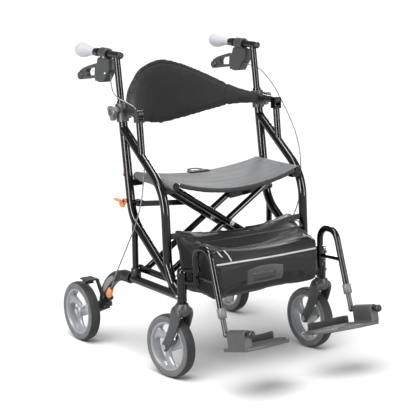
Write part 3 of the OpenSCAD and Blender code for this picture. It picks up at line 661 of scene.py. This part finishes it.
def wheel(side, end, place):
    half_hub, bore, depth = WHEELS[end]
    body = f"{side}_{end}_wheel"
    tyre = piece(f"{side}_{end}_tyre_tread", moved(tyre_part(depth), place), "tyre", body, sharp=35)
    paint_tread(tyre, place.inverted())
    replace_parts(tyre, f"{side}_{end}_tyre")
    part = rim_part(half_hub, bore)
    if side == "left":
        part = [Vector((v.x, -v.y, v.z)) for v in part[0]], part[1]
    rim = piece(f"{side}_{end}_rim_cast", moved(part, place), "rim_grey", body, sharp=40)
    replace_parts(rim, f"{side}_{end}_rim")


for side in SIGN:
    wheel(side, "rear", Matrix.Translation(at(SIGN[side] * WHEEL_X, 0, 100)) @ LIE)
    wheel(side, "front", caster_matrix(side) @ Matrix.Translation((0, TRAIL * MM, 0.1)) @ LIE)


# Moulded plastic pieces, rounded from their solids

def solid_copy(node):
    """Copy of a node's solid as one welded mesh."""
    mesh = frame["nodes"][node].data.copy()
    mesh.name = node + "_moulded"
    bm = bmesh.new()
    bm.from_mesh(mesh)
    bmesh.ops.remove_doubles(bm, verts=bm.verts, dist=1e-5)
    bm.to_mesh(mesh)
    bm.free()
    return linked(mesh.name, mesh)


def moulded(side, name, slot, body, voxel, rounds, keep, material=None, form=None):
    """Node's solid, or a form in its place, with its edges rounded off as moulding leaves them."""
    node = f"{side}_{name}"
    obj = form or solid_copy(node)
    remeshed(obj, voxel)
    modified(obj, "SMOOTH", factor=0.5, iterations=rounds)
    modified(obj, "DECIMATE", ratio=keep)
    settle(obj)
    obj.data.materials.clear()
    obj.data.materials.append(material or MATS[slot])
    shade(obj)
    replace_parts(riding(obj, f"{side}_{body}"), node)


# In mm: the fork's collar and axle boss turned, and the line of its legs as (behind the stem, height)
COLLAR = [(8, 214), (20, 214), (23.2, 222), (22.4, 232), (20.6, 240), (19.4, 244.5), (17, 246), (8, 246)]
BOSS = [(0.3, -3.4), (14.0, -3.4), (15.6, -2.2), (15.6, 2.2), (14.0, 3.4), (0.3, 3.4)]
FORK_LEG = [(0, 232), (2, 214), (8, 188), (20, 157), (37, 126), (55, 100)]


def fork(side):
    """Swivel fork about its stem: a collar, a domed crown and two legs swept back to the axle."""
    parts = [lathe(COLLAR, 64, 1)]
    rings = []
    for x in spread(-33.0, 33.0, 24):
        k = max(1 - abs(x / 33.4) ** 2.4, 0.02) ** 0.5
        rings.append([Vector((x, 5 + 27 * k * math.cos(q), 221 + 21 * k * math.sin(q))) for q in angles(32)])
    parts.append(loft(rings))
    line = spline([(0, y, z) for y, z in FORK_LEG], 6)
    for sign in (-1, 1):
        rings = []
        for i, p in enumerate(line):
            t = i / (len(line) - 1)
            d = heading(line, i)
            across = Vector((0, d.z, -d.y))
            cap = math.sqrt(max(0.03, 1 - max(0.0, 1 - t / 0.26) ** 2))
            half = (25.0 - 13.0 * t + 4.0 * t * t) * cap
            thick = (6.3 - 2.9 * t) * cap
            centre = p + Vector((sign * (27.0 - 3.0 * t), 0, 0))
            rings.append([centre + Vector((thick * lobe(math.cos(q), 0.7), 0, 0))
                          + across * (half * lobe(math.sin(q), 0.75)) for q in angles(28)])
        parts.append(loft(rings))
        parts.append(moved(lathe(BOSS, 40, 1), Matrix.Translation((sign * 24.0, TRAIL, 100)) @ LIE))
    verts, faces = joined(parts)
    part = moved(([v * MM for v in verts], faces), caster_matrix(side))
    return new_object(f"{side}_caster_fork_moulded", part)


for side in SIGN:
    moulded(side, "rear_arm", "black_plastic", "frame", 0.002, 5, 0.22)
    moulded(side, "brake_lever", "dark_plastic", "lever", 0.0012, 7, 0.25, LEVER)
    moulded(side, "brake_housing", "dark_plastic", "handle", 0.0013, 5, 0.25, LEVER)
    moulded(side, "clamp_knob", "grey_plastic", "knob", 0.0012, 8, 0.3)
    moulded(side, "footplate", "dark_plastic", "plate", 0.0018, 4, 0.25, PLATE)
    moulded(side, "caster_fork", "dark_plastic", "caster", 0.0018, 5, 0.25, form=fork(side))


# Brake cables: smooth sheathed runs from the housings to the adjusters

# Points of each run, as (outward of the frame, ahead of the rear axle, height)
ROUTES = {
    "right": [(0, 163, 904), (11, 179, 886), (18, 203, 859), (16, 229, 842), (4, 252, 830), (-8, 272, 820),
              (-15, 286, 806), (-17, 300, 775), (-17, 318, 700), (-17, 327, 655), (-11, 333, 612),
              (-5, 337, 585), (2, 340, 540), (12, 335, 490), (19, 322, 445), (20, 290, 395),
              (21, 225, 300), (18, 186, 251), (13, 161, 215)],
    "left": [(0, 163, 904), (10, 180, 901), (18, 204, 894), (20, 232, 881), (20, 297, 835), (20, 379, 744),
             (20, 420, 676), (20, 436, 612), (20, 436, 545), (20, 426, 477), (20, 385, 400), (22, 320, 325),
             (23, 240, 286), (18, 186, 251), (13, 161, 215)],
}
for side in SIGN:
    path = spline([at(SIGN[side] * (FRAME_X + o), a, z) for o, a, z in ROUTES[side]], 8)
    cable = new_object(f"{side}_cable_sheath", tube(path, 2.0 * MM, 10), MATS["cable_grey"])
    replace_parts(cable, f"{side}_brake_cable")
    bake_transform(cable)


# Backrest: stuffed leaf with a border seam and a neck seam at each end

# In mm: the pivots of its arms, then the leaf's half width, its depth and where it starts on the arms
ARM_A, ARM_Z = 328.0, 800.0
BACK_W, BACK_DEEP, PAD_A = 244.7, 295.0, 264.0
# How square the leaf's curve is, and how many steps it has
BACK_POWER, BACK_STEPS = 1.9, 80
# The neck seams' angle round the curve and the radius there, and how far in the border seam lies
NECK_T, NECK_R, BORDER = math.radians(38), 265, 21.0
BACK_T0 = math.asin(((ARM_A - PAD_A) / BACK_DEEP) ** (BACK_POWER / 2))
BACK_TURN = math.pi - 2 * BACK_T0
BACK_TS = [math.pi - BACK_T0 - BACK_TURN * k / BACK_STEPS for k in range(BACK_STEPS + 1)]


def back_curve(t):
    c, s = math.cos(t), math.sin(t)
    return BACK_W * lobe(c, 2 / BACK_POWER), ARM_A - BACK_DEEP * abs(s) ** (2 / BACK_POWER)


def back_half(t):
    return 19 + 95 * abs(math.sin(t)) ** 2.6


def back_mid(t):
    return ARM_Z + 21 * math.sin(t) ** 2


def back_full(t):
    return 0.8 + 0.2 * math.sin(t)


def back_frame(t):
    """Middle of the leaf at an angle round it, and the direction out of its face there."""
    x0, a0 = back_curve(t - 0.004)
    x1, a1 = back_curve(t + 0.004)
    d = Vector((x1 - x0, a0 - a1, 0)).normalized()
    x, a = back_curve(t)
    return at(x, a, back_mid(t)), Vector((d.y, -d.x, 0))


BACK_RUN = [0.0]
for t0, t1 in zip(BACK_TS, BACK_TS[1:]):
    BACK_RUN.append(BACK_RUN[-1] + (back_frame(t1)[0] - back_frame(t0)[0]).length)


def back_param(co):
    """Place on the leaf: the angle, the share of its half height and the run along it, in metres."""
    x, a = co.x / MM, REAR_Y - co.y / MM
    t = math.atan2(max((ARM_A - a) / BACK_DEEP, 0.0) ** (BACK_POWER / 2), lobe(x / BACK_W, BACK_POWER / 2))
    t = clamp(t, BACK_T0, math.pi - BACK_T0)
    k = (math.pi - BACK_T0 - t) / BACK_TURN * BACK_STEPS
    i = min(int(k), BACK_STEPS - 1)
    run = BACK_RUN[i] + (BACK_RUN[i + 1] - BACK_RUN[i]) * (k - i)
    return t, (co.z / MM - back_mid(t)) / back_half(t), run


def back_sewn(co, n):
    """Point of the cover drawn in by the seams."""
    t, share, run = back_param(co)
    inside = back_half(t) * (1 - abs(share))
    dip = 0.0
    if NECK_T < t < math.pi - NECK_T:
        dip += 2.8 * math.exp(-((inside - BORDER) / 3.2) ** 2)
    for neck in (NECK_T, math.pi - NECK_T):
        dip += 3.2 * math.exp(-(((t - neck) * NECK_R) / 4.2) ** 2)
    puff = 0.8 * noise.noise(Vector((run * 16, co.z * 22, 3.1)))
    return co + n * ((puff - dip) * MM)


def backrest():
    rings = []
    for t in BACK_TS:
        c, n = back_frame(t)
        h = (back_half(t) - 2.5) * MM
        w = 9.6 * back_full(t) * MM
        rings.append([c + n * w * lobe(math.cos(q), 0.75) + Vector((0, 0, h * lobe(math.sin(q), 0.9)))
                      for q in angles(36)])
    obj = stuffed("backrest_cover", loft(rings), 0.005, 4.0, 0.005)
    worked(obj, back_sewn)
    return dressed(obj, lambda co, _: (back_param(co)[2], co.z), MATS["pad_cloth"])


def backrest_seam(face, edge):
    """Stitches along the border on one face (1 or -1), by its upper (1) or lower (-1) edge."""
    path = []
    for t in spread(NECK_T, math.pi - NECK_T, 220):
        c, n = back_frame(t)
        half = back_half(t)
        share = max(half - BORDER, 0.0) / half
        w = 12.3 * back_full(t) * (1 - share ** 2.4) ** 0.42 - 0.9
        path.append(c + n * (face * w * MM) + Vector((0, 0, edge * share * half * MM)))
    return stitches(resampled(path, 0.0008), 0.0052, 0.0036, 0.00045)


def soft(obj, slot, body, anchor, keep):
    """Rides on a body, with its own copy of its mesh."""
    riding(obj, body)
    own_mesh(obj)


# What a soft piece rides on, the point that stays as it folds, and the share of its width that is left
BACK_FOLD = ("right_arm", tuple(at(-237, PAD_A, ARM_Z)), 0.2816)
SEAT_FOLD = ("seat", tuple(at(BRACE_X, 380, 591)), 0.2725)
BAG_FOLD = ("right_frame", tuple(at(-222.4, 500, 400)), 0.2356)
cover = backrest()
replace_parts(cover, "backrest_pad")
soft(cover, "pad_cloth", *BACK_FOLD)
seams = joined([backrest_seam(face, edge) for face in (1, -1) for edge in (1, -1)])
soft(new_object("backrest_stitching", seams, THREAD), "pad_cloth", *BACK_FOLD)


# Seat: a sling sewn round the two rails, with a rolled front hem

SEAT_A0, SEAT_A1 = 257.0, 488.0
RAIL_Z, SLEEVE_R, EDGE_X, EDGE_Z = 591.0, 13.2, 225.1, 599.9
SEAT_SAG = 38.0
SEAT_STITCH = (0.0058, 0.0038, 0.0005)


def seat_z(x, a):
    sag = SEAT_SAG * (0.58 + 0.42 * (a - SEAT_A0) / (SEAT_A1 - SEAT_A0))
    return EDGE_Z - sag * (1 - (x / EDGE_X) ** 2)


def seat_section(a):
    """Upper face of the cloth across the chair at one place: round one rail, down and round the other."""
    arc = [(BRACE_X + SLEEVE_R * math.cos(q), RAIL_Z + SLEEVE_R * math.sin(q))
           for q in (math.radians(-50 + 12 * k) for k in range(16))]
    inner, z0 = arc[-1]
    points = [(-x, z) for x, z in arc]
    for x in spread(-inner, inner, 64)[1:-1]:
        edge = inner - abs(x)
        near_rail = max(0.0, 1 - edge / 26.0) ** 2
        points.append((x, (seat_z(x, a) + 1.2) * (1 - near_rail) + (z0 - 0.1 * edge) * near_rail))
    return points + arc[::-1]


def seat_wrinkle(x, a):
    """Height of the creases that run in from the rails and across the sag."""
    u = x / EDGE_X
    edge = abs(u) ** 3
    fan = math.sin(a * 0.16 + 5 * u) * 2.4 * edge * (1 - edge * 0.6)
    cross = 2.8 * noise.noise(Vector((x * 0.006, a * 0.035, 0.7))) * (1 - abs(u) ** 4)
    fine = 0.9 * noise.noise(Vector((x * 0.03, a * 0.07, 4.2)))
    return fan + cross + fine


def seat_sling(rows=46):
    verts = []
    for i, a in enumerate(spread(SEAT_A1, SEAT_A0, rows)):
        loose = min(1.0, min(i, rows - i) / 4)
        section = seat_section(a)
        for x, z in section:
            on_rail = abs(x) > EDGE_X - 6
            verts.append(at(x, a, z + (0.0 if on_rail else seat_wrinkle(x, a) * loose)))
    obj = new_object("seat_cloth_sling", (verts, grid_faces(rows + 1, len(section))))
    modified(obj, "SOLIDIFY", thickness=1.8 * MM, offset=0.0, use_rim=True)
    settle(obj)
    return dressed(obj, from_above, MATS["seat_cloth"])


def seat_hem():
    rings = []
    for k, x in enumerate(spread(8 - EDGE_X, EDGE_X - 8, 60)):
        p = at(x, SEAT_A1 - 2.5, seat_z(x, SEAT_A1) - 5.4)
        puff = 1 + 0.05 * math.sin(k * 1.7) + 0.04 * math.sin(k * 0.6)
        rings.append([p + Vector((0, 5.2 * MM * puff * math.cos(q), 7.6 * MM * puff * math.sin(q)))
                      for q in angles(20)])
    return dressed(new_object("seat_front_hem", loft(rings)), from_front, HEM)


def seat_stitching():
    lines = [[at(x, a, seat_z(x, a) + 2.2 + seat_wrinkle(x, a)) for x in spread(-205, 205, 400)]
             for a in (SEAT_A1 - 16, SEAT_A1 - 22, SEAT_A0 + 12)]
    lines += [[at(x, a, seat_z(x, a) + 2.3) for a in spread(SEAT_A0 + 8, SEAT_A0 + 220, 200)]
              for x in (-214, 214)]
    return new_object("seat_stitching", joined([stitches(line, *SEAT_STITCH) for line in lines]), THREAD)


def pull_strap():
    """Webbing sewn to the rear edge of the seat, with a loop for the hand."""
    z = seat_z(0, SEAT_A0)
    sewn_on = [at(x, SEAT_A0 + 3, z + 4.0 + 0.6 * math.sin(k * 0.8))
               for k, x in enumerate(spread(-38, 38, 24))]
    base = band(sewn_on, Vector((0, 13 * MM, 0)), 2.6 * MM, UP)
    bow = [at(-24 * math.cos(q), SEAT_A0 - 6 - 30 * math.sin(q) ** 0.8, z + 4.6 + 1.2 * math.sin(q))
           for q in spread(0, math.pi, 40)]
    loop = band(bow, [heading(bow, k).cross(UP) * (6 * MM) for k in range(len(bow))], 2.4 * MM, UP)
    return dressed(new_object("seat_pull_strap", joined([base, loop])), from_above, MATS["black_webbing"])


sling, hem, sewn = seat_sling(), seat_hem(), seat_stitching()
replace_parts(sling, "seat_sling")
soft(sling, "seat_cloth", *SEAT_FOLD)
soft(hem, "black_webbing", *SEAT_FOLD)
soft(sewn, "seat_cloth", *SEAT_FOLD)
strap = pull_strap()
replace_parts(strap, "pull_strap")
soft(strap, "black_webbing", *SEAT_FOLD)


# Storage bag: a sagging lofted shell with a lid, piping, pocket and zip pulls

BAG_TOP, BAG_LOW, BAG_FRONT = 457.0, 254.0, 400.0
BAG_A0, BAG_A1 = 453.0, 650.0
BAG_SKIN = 0.6
PIPING_Z, ZIP_A = 367.0, 612
# Creases across the lid: place, slope, height and width
LID_FOLDS = [(492, -0.06, 6.5, 13), (530, 0.05, -6.0, 14), (566, -0.04, 7.0, 13), (598, 0.03, -4.0, 11)]


def bag_profile(u):
    """Side outline of the bag at a share u across it: (ahead, height) points, rear top first."""
    slack = 1 - abs(u) ** 2.2
    sag, lip = 30 * slack, 5 * slack
    ear = BAG_TOP - 1 - sag * 0.85
    low = BAG_LOW + 3 + 3.5 * (u + 1)
    return [(455, ear - 8), (457, ear), (463, ear - 1), (478, BAG_TOP - 9 - sag * 1.3),
            (520, BAG_TOP - 29 - sag * 1.5), (572, BAG_TOP - 45 - sag * 1.15),
            (612, BAG_TOP - 54 - sag * 0.45), (630, BAG_FRONT - 4 - lip), (641, 374 - lip), (647, 330),
            (646, low + 24), (636, low + 5), (600, low), (520, low), (468, low + 3), (457, low + 22),
            (456, 350)]


def bag_half(a, z):
    """Half width of the bag at a place on its side outline."""
    fore = clamp((a - BAG_A0) / (BAG_A1 - BAG_A0), 0, 1)
    deep = clamp((BAG_TOP - z) / (BAG_TOP - BAG_LOW), 0, 1)
    return (233 - 25 * deep) * (1 - fore) + (201 - 2 * deep) * fore


def lid_fold(x, a):
    """Height of the long creases that lie across the lid."""
    h = 0.0
    for k, (place, slope, high, wide) in enumerate(LID_FOLDS):
        line = place + slope * x + 7 * math.sin(x * 0.017 + 1.9 * k)
        fade = 1 - min(1.0, abs(x + 30 * math.sin(2.3 * k)) / 215) ** 3
        h += high * fade * math.exp(-((a - line) / wide) ** 2)
    return h


def bag_part():
    rings = []
    ends = [0.76, 0.86, 0.93, 0.97, 0.992, 1.0]
    for u in [-e for e in reversed(ends)] + spread(-0.62, 0.62, 12) + ends:
        outline = spline(bag_profile(u), 6, closed=True)
        ca, cz = (sum(p[i] for p in outline) / len(outline) for i in (0, 1))
        shrink = 1 - max(0.0, (abs(u) - 0.94) / 0.06) ** 2 * 0.05
        rings.append([at(u * (bag_half(a, z) - 2), ca + (a - ca) * shrink, cz + (z - cz) * shrink)
                      for a, z in outline])
    return loft(rings)


def bag_creased(co, n):
    """Point of the bag with its creases, kept inside the bag's box."""
    x, a, z = co.x / MM, REAR_Y - co.y / MM, co.z / MM
    top = max(0.0, n.z)
    folds = top * (lid_fold(x, a) + 1.6 * noise.noise(Vector((x * 0.0065, a * 0.02, 1.3))))
    side = 3.0 * (1 - top) * noise.noise(Vector((x * 0.012, z * 0.02, 7.7)))
    slump = -2.4 * math.exp(-((z - PIPING_Z) / 5.0) ** 2) * max(0.0, -n.y)
    place = co + n * ((folds + side + slump) * MM)
    a, z = REAR_Y - place.y / MM, place.z / MM
    half = bag_half(a, z) - BAG_SKIN
    return at(clamp(place.x / MM, -half, half), clamp(a, BAG_A0 + BAG_SKIN, BAG_A1 - BAG_SKIN),
              clamp(z, BAG_LOW + BAG_SKIN, BAG_TOP - BAG_SKIN))


shell = stuffed("bag_shell", bag_part(), 0.006, 3.0, 0.007)
worked(shell, bag_creased)
dressed(shell, flat_place, MATS["bag_nylon"])
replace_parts(shell, "storage_bag")
soft(shell, "bag_nylon", *BAG_FOLD)


def on_shell(start, way, fallback):
    """Where a ray meets the finished bag, and the direction out of it there."""
    hit, place, normal, _ = shell.ray_cast(start, way)
    return (place, normal) if hit else (fallback, -way)


def shell_front(x, z):
    return on_shell(Vector((x * MM, -1.0, z * MM)), Vector((0, 1, 0)), at(x, 655, z))


def shell_top(x, a):
    return on_shell(at(x, a, 600), -UP, at(x, a, 400))


def shell_side(sign, a, z):
    return on_shell(at(sign * 600, a, z), Vector((-sign, 0, 0)), at(sign * bag_half(a, z), a, z))


def lifted(hit, mm):
    place, normal = hit
    return place + normal * (mm * MM)


def panel(x0, x1, top, low, lift, deep):
    """Thin stitched-on panel that follows the front of the bag; top gives its upper edge."""
    m, n = 12, 30
    rows = []
    for i in range(m + 1):
        row = []
        for k, x in enumerate(spread(x0, x1, n)):
            edge = min(i, m - i, k / 2, (n - k) / 2)
            hit = shell_front(x, top(x) + (low - top(x)) * i / m)
            row.append(lifted(hit, 0.4 + lift * min(1.0, 0.3 + edge / 2.0)))
        rows.append(row)
    return slab(rows, Vector((0, deep * MM, 0)))


def bag_zip(xs):
    """Tape and teeth along the lid's front edge, two sliders and their hanging tags."""
    hits = [shell_top(x * 0.97, ZIP_A - 10 * (1 - (x / 180) ** 2)) for x in xs]
    line = [lifted(hit, 0.8) for hit in hits]
    normals = [n for _, n in hits]
    tape = band(line, Vector((0, 7 * MM, 0)), 1.6 * MM, normals)
    teeth, sliders, tags = [], [], []
    d = Vector((0, 1.7 * MM, 0))
    for p0, p1, n in zip(line, line[1:], normals):
        for share in (0.0, 0.5):
            p = p0.lerp(p1, share)
            low, high = n * (1.1 * MM), n * (1.6 * MM)
            teeth.append(tube([p - d + low, p + high, p + d + low], 0.75 * MM, 6))
    half = Vector((5 * MM, 0, 0))
    for x, slant, low in ((-172, 5, 386), (-148, 9, 371)):
        hit = shell_top(x, ZIP_A)
        foot = lifted(hit, 2.2)
        sliders.append(tube([foot - half, lifted(hit, 4.2), foot + half], 2.4 * MM, 8))
        over = [shell_top(x + slant * k / 10, ZIP_A + 4 * k) for k in range(1, 5)]
        down = [shell_front(x + slant * (0.5 + 0.5 * k / 7), 390 + (low - 390) * k / 7) for k in range(8)]
        hang = [lifted(hit, 3.6)] + [lifted(h, 2.6) for h in over] + [lifted(h, 2.8) for h in down]
        tags.append(band(hang, Vector((2.4 * MM, 0, 0)), 2.2 * MM, [n for _, n in [hit] + over + down]))
    return tape, joined(teeth), joined(sliders), joined(tags)


def bag_tabs(side):
    """Webbing tabs that hang the bag on one side frame."""
    tabs = []
    for z, a in ((434, 475.5), (310, 506)):
        xs = spread(SIGN[side] * (bag_half(a, z) - 12), SIGN[side] * (FRAME_X - 14.4), 12)
        points = [at(x, a + 1.2 * math.sin(k * 0.5), z) for k, x in enumerate(xs)]
        tabs.append(band(points, Vector((0, 0, 9.6 * MM)), 2.6 * MM, Vector((0, 1, 0))))
    piece(f"{side}_bag_tabs", joined(tabs), "black_webbing", f"{side}_frame")


def bag_trim():
    """Piping, binding, zip, pocket and bare patch, all riding with the bag."""
    xs = spread(-190, 190, 90)
    piping = tube([lifted(shell_front(x, PIPING_Z), 1.0) for x in xs], 3.1 * MM, 10)
    edges = [tube([lifted(shell_side(sign, 466 + 158 * k, BAG_TOP - 16 - 54 * k), 0.5)
                   for k in spread(0, 1, 30)], 1.8 * MM, 8) for sign in (-1, 1)]
    tape, teeth, sliders, tags = bag_zip(xs)
    pocket = panel(-84, 52, lambda x: 337 + 9 * (1 - ((x + 16) / 68) ** 2), 292, 2.4, 2.8)
    patch = panel(-66, 28, lambda x: 329, 299, 4.2, 2.0)
    for side in SIGN:
        bag_tabs(side)
    for name, part, slot, material in (
            ("piping", piping, "bag_nylon", PIPING), ("edge_binding", joined(edges), "black_webbing", None),
            ("zip_tape", tape, "black_webbing", None), ("zip_teeth", teeth, "grey_plastic", None),
            ("zip_sliders", sliders, "dark_plastic", None), ("zip_tags", tags, "grey_plastic", PIPING),
            ("pocket", pocket, "bag_nylon", POCKET), ("bare_patch", patch, "black_plastic", PATCH)):
        obj = dressed(new_object(f"bag_{name}", part), flat_place, material or MATS[slot])
        soft(obj, slot, *BAG_FOLD)


bag_trim()


# Heel straps, footplate ribs and small hardware

# The footplate's hinge, how far it leans, and the plate's upper face below it in mm
HINGE, TILT, PLATE_Z = at(-FOOT_X, 756, 185.98462), math.radians(14), -39
# Where a housing's screws sit, as (ahead, height), and turned profiles, as (radius, height)
HOUSING_SCREWS = ((116, 962), (142, 962), (150, 912))
STEM_SCREW = [(0.2, 0), (4.2, 0), (5.0, 1.0), (4.6, 2.4), (3.0, 3.6), (0.2, 4.0)]
BAR_PLUG = [(0.2, 0), (9.0, 0), (10.9, 0.8), (11.0, 3.0), (9.6, 5.2), (5.0, 6.4), (0.2, 6.8)]
HOUSING_SCREW = [(0.2, 0), (3.4, 0), (3.6, 0.5), (3.2, 1.3), (1.8, 1.3), (1.6, 0.4), (0.2, 0.4)]
KNOB_CAP = [(0.2, 0), (6.5, 0), (8.2, 0.7), (8.4, 1.6), (7.0, 2.6), (0.2, 3.2)]
BUTTON = [(0.2, 0), (7.6, 0), (8.5, 0.8), (8.5, 3.2), (7.4, 4.6), (5.4, 5.0), (4.8, 4.4), (0.2, 4.2)]


def on_hinge(x, y, z):
    """Point by the footplate hinge: across, along and square to it, for the right side."""
    return HINGE + Matrix.Rotation(-TILT, 3, "X") @ Vector((x * MM, y * MM, z * MM))


def side_piece(side, name, part, slot, body, **look):
    return piece(f"{side}_{name}", sided(side, part), slot, f"{side}_{body}", **look)


def footplate_trim(side):
    path = [on_hinge(16 + 155 * s, 5.6 + 1.2 * math.sin(math.pi * s) ** 0.7,
                     PLATE_Z + 9.0 + 1.5 * math.sin(7 * s)) for s in spread(0, 1, 60)]
    up = (on_hinge(0, 0, 1) - HINGE).normalized()
    along = (on_hinge(1, 0, 0) - HINGE) * 5.0
    out = [heading(path, i).cross(up) for i in range(len(path))]
    parts = [band(path, up * (12.4 * MM), 2.4 * MM, out)]
    for x in (20, 167):
        c = on_hinge(x, 5.6, PLATE_Z + 8.5)
        parts.append(band([c - along, c + along], up * (13.0 * MM), 6.4 * MM, out[0]))
    obj = side_piece(side, "heel_webbing", joined(parts), "black_webbing", "plate")
    weave_coords(obj, from_front)
    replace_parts(obj, f"{side}_heel_strap")
    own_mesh(obj)
    ribs = [tube([on_hinge(x, y, PLATE_Z - 0.1) for x in spread(22, 177 - max(0, -50 - y) * 0.74, 16)],
                 1.3 * MM, 8) for y in range(-12, -101, -11)]
    side_piece(side, "plate_ribs", joined(ribs), "dark_plastic", "plate")


for side in SIGN:
    footplate_trim(side)


def facing(d):
    return d.to_track_quat("Z", "Y").to_matrix().to_4x4()


def sleeve(start, end, inner, outer):
    """Collar between two points with softened ends."""
    d = end - start
    h = d.length
    e = min(1.2 * MM, h / 4)
    profile = [(inner, 0), (outer - e, 0), (outer, e), (outer, h - e), (outer - e, h), (inner, h)]
    return moved(lathe(profile, 40, 1), Matrix.Translation(start) @ facing(d.normalized()))


def stud(profile, seg, place, turn=OUTWARD):
    return moved(lathe(profile, seg), Matrix.Translation(place) @ turn)


def arm_inset():
    """Grey panel let into the outer face of a rear arm, along its bend."""
    rows = []
    for k in range(25):
        q = math.radians(30 + 34 * k / 24)
        wide = 10.5 * math.sin(math.pi * (0.06 + 0.88 * k / 24)) ** 0.5
        rows.append([at(-FRAME_X - 12.2, 235 - r * math.cos(q), 107 + r * math.sin(q))
                     for r in spread(155 - wide, 155 + wide, 8)])
    return slab(rows, Vector((1.6 * MM, 0, 0)))


def side_trim(side):
    foot, bend = at(-FOOT_X, 740, 233), at(-FOOT_X, 675, 424)
    v = (foot - bend).normalized()
    collar = sleeve(foot - v * 0.0302, foot + v * 0.0004, 9.2 * MM, 13.4 * MM)
    side_piece(side, "leg_collar", collar, "grey_plastic", "hanger")
    collar = sleeve(at(-FRAME_X, 289, 272), at(-FRAME_X, 289, 300), 9.8 * MM, 14.6 * MM)
    side_piece(side, "strut_collar", collar, "black_plastic", "frame")
    side_piece(side, "arm_inset", arm_inset(), "grey_plastic", "frame", material=INSET, sharp=40)
    screws = [stud(STEM_SCREW, 24, at(-STEM_X - 18, STEM_A, z)) for z in (270, 328)]
    side_piece(side, "stem_screws", joined(screws), "bright_steel", "frame")
    plug = stud(BAR_PLUG, 40, at(-FRAME_X, 221.5, 973), Matrix.Rotation(math.pi / 2, 4, "X"))
    side_piece(side, "bar_plug", plug, "black_plastic", "handle")
    screws = [stud(HOUSING_SCREW, 20, at(-FRAME_X - 14.6, a, z)) for a, z in HOUSING_SCREWS]
    side_piece(side, "housing_screws", joined(screws), "bright_steel", "handle")
    side_piece(side, "knob_cap", stud(KNOB_CAP, 32, at(-307.6, 225.16, 797)), "dark_plastic", "knob")


def adjuster(side):
    """Barrel that the brake cable runs into: a rounded block with a dark neck."""
    p, q = at(-FRAME_X - 13, 133, 175), at(-FRAME_X - 13, 161, 215)
    d = (q - p).normalized()
    across = Vector((0, d.z, -d.y))
    rings = []
    for h, k in ((0, 0.6), (1.5, 0.88), (4, 1.0), (27, 1.0), (31, 0.95), (33.5, 0.78), (34.5, 0.5)):
        rings.append([p + d * (h * MM) + Vector((7.6 * k * MM * lobe(math.cos(t), 0.55), 0, 0))
                      + across * (10.4 * k * MM * lobe(math.sin(t), 0.55)) for t in angles(40)])
    barrel = side_piece(side, "adjuster_barrel", loft(rings), "orange_plastic", "frame", sharp=50)
    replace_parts(barrel, f"{side}_cable_adjuster")
    neck = tube([p + d * (33 * MM), p + d * (42 * MM), q - d * (0.4 * MM)], 4.0 * MM, 20)
    side_piece(side, "adjuster_neck", neck, "dark_plastic", "frame")


for side in SIGN:
    side_trim(side)
    adjuster(side)


# Round button set into the rear outer side of the right upright
BUTTON_OUT = Vector((-0.82, 0.57, 0.0)).normalized()
BUTTON_AT = at(-FRAME_X, 220 + (830 - 602) * 0.1565, 602) + BUTTON_OUT * 0.0125
piece("upright_button", stud(BUTTON, 32, BUTTON_AT, facing(BUTTON_OUT)), "orange_plastic", "right_frame")
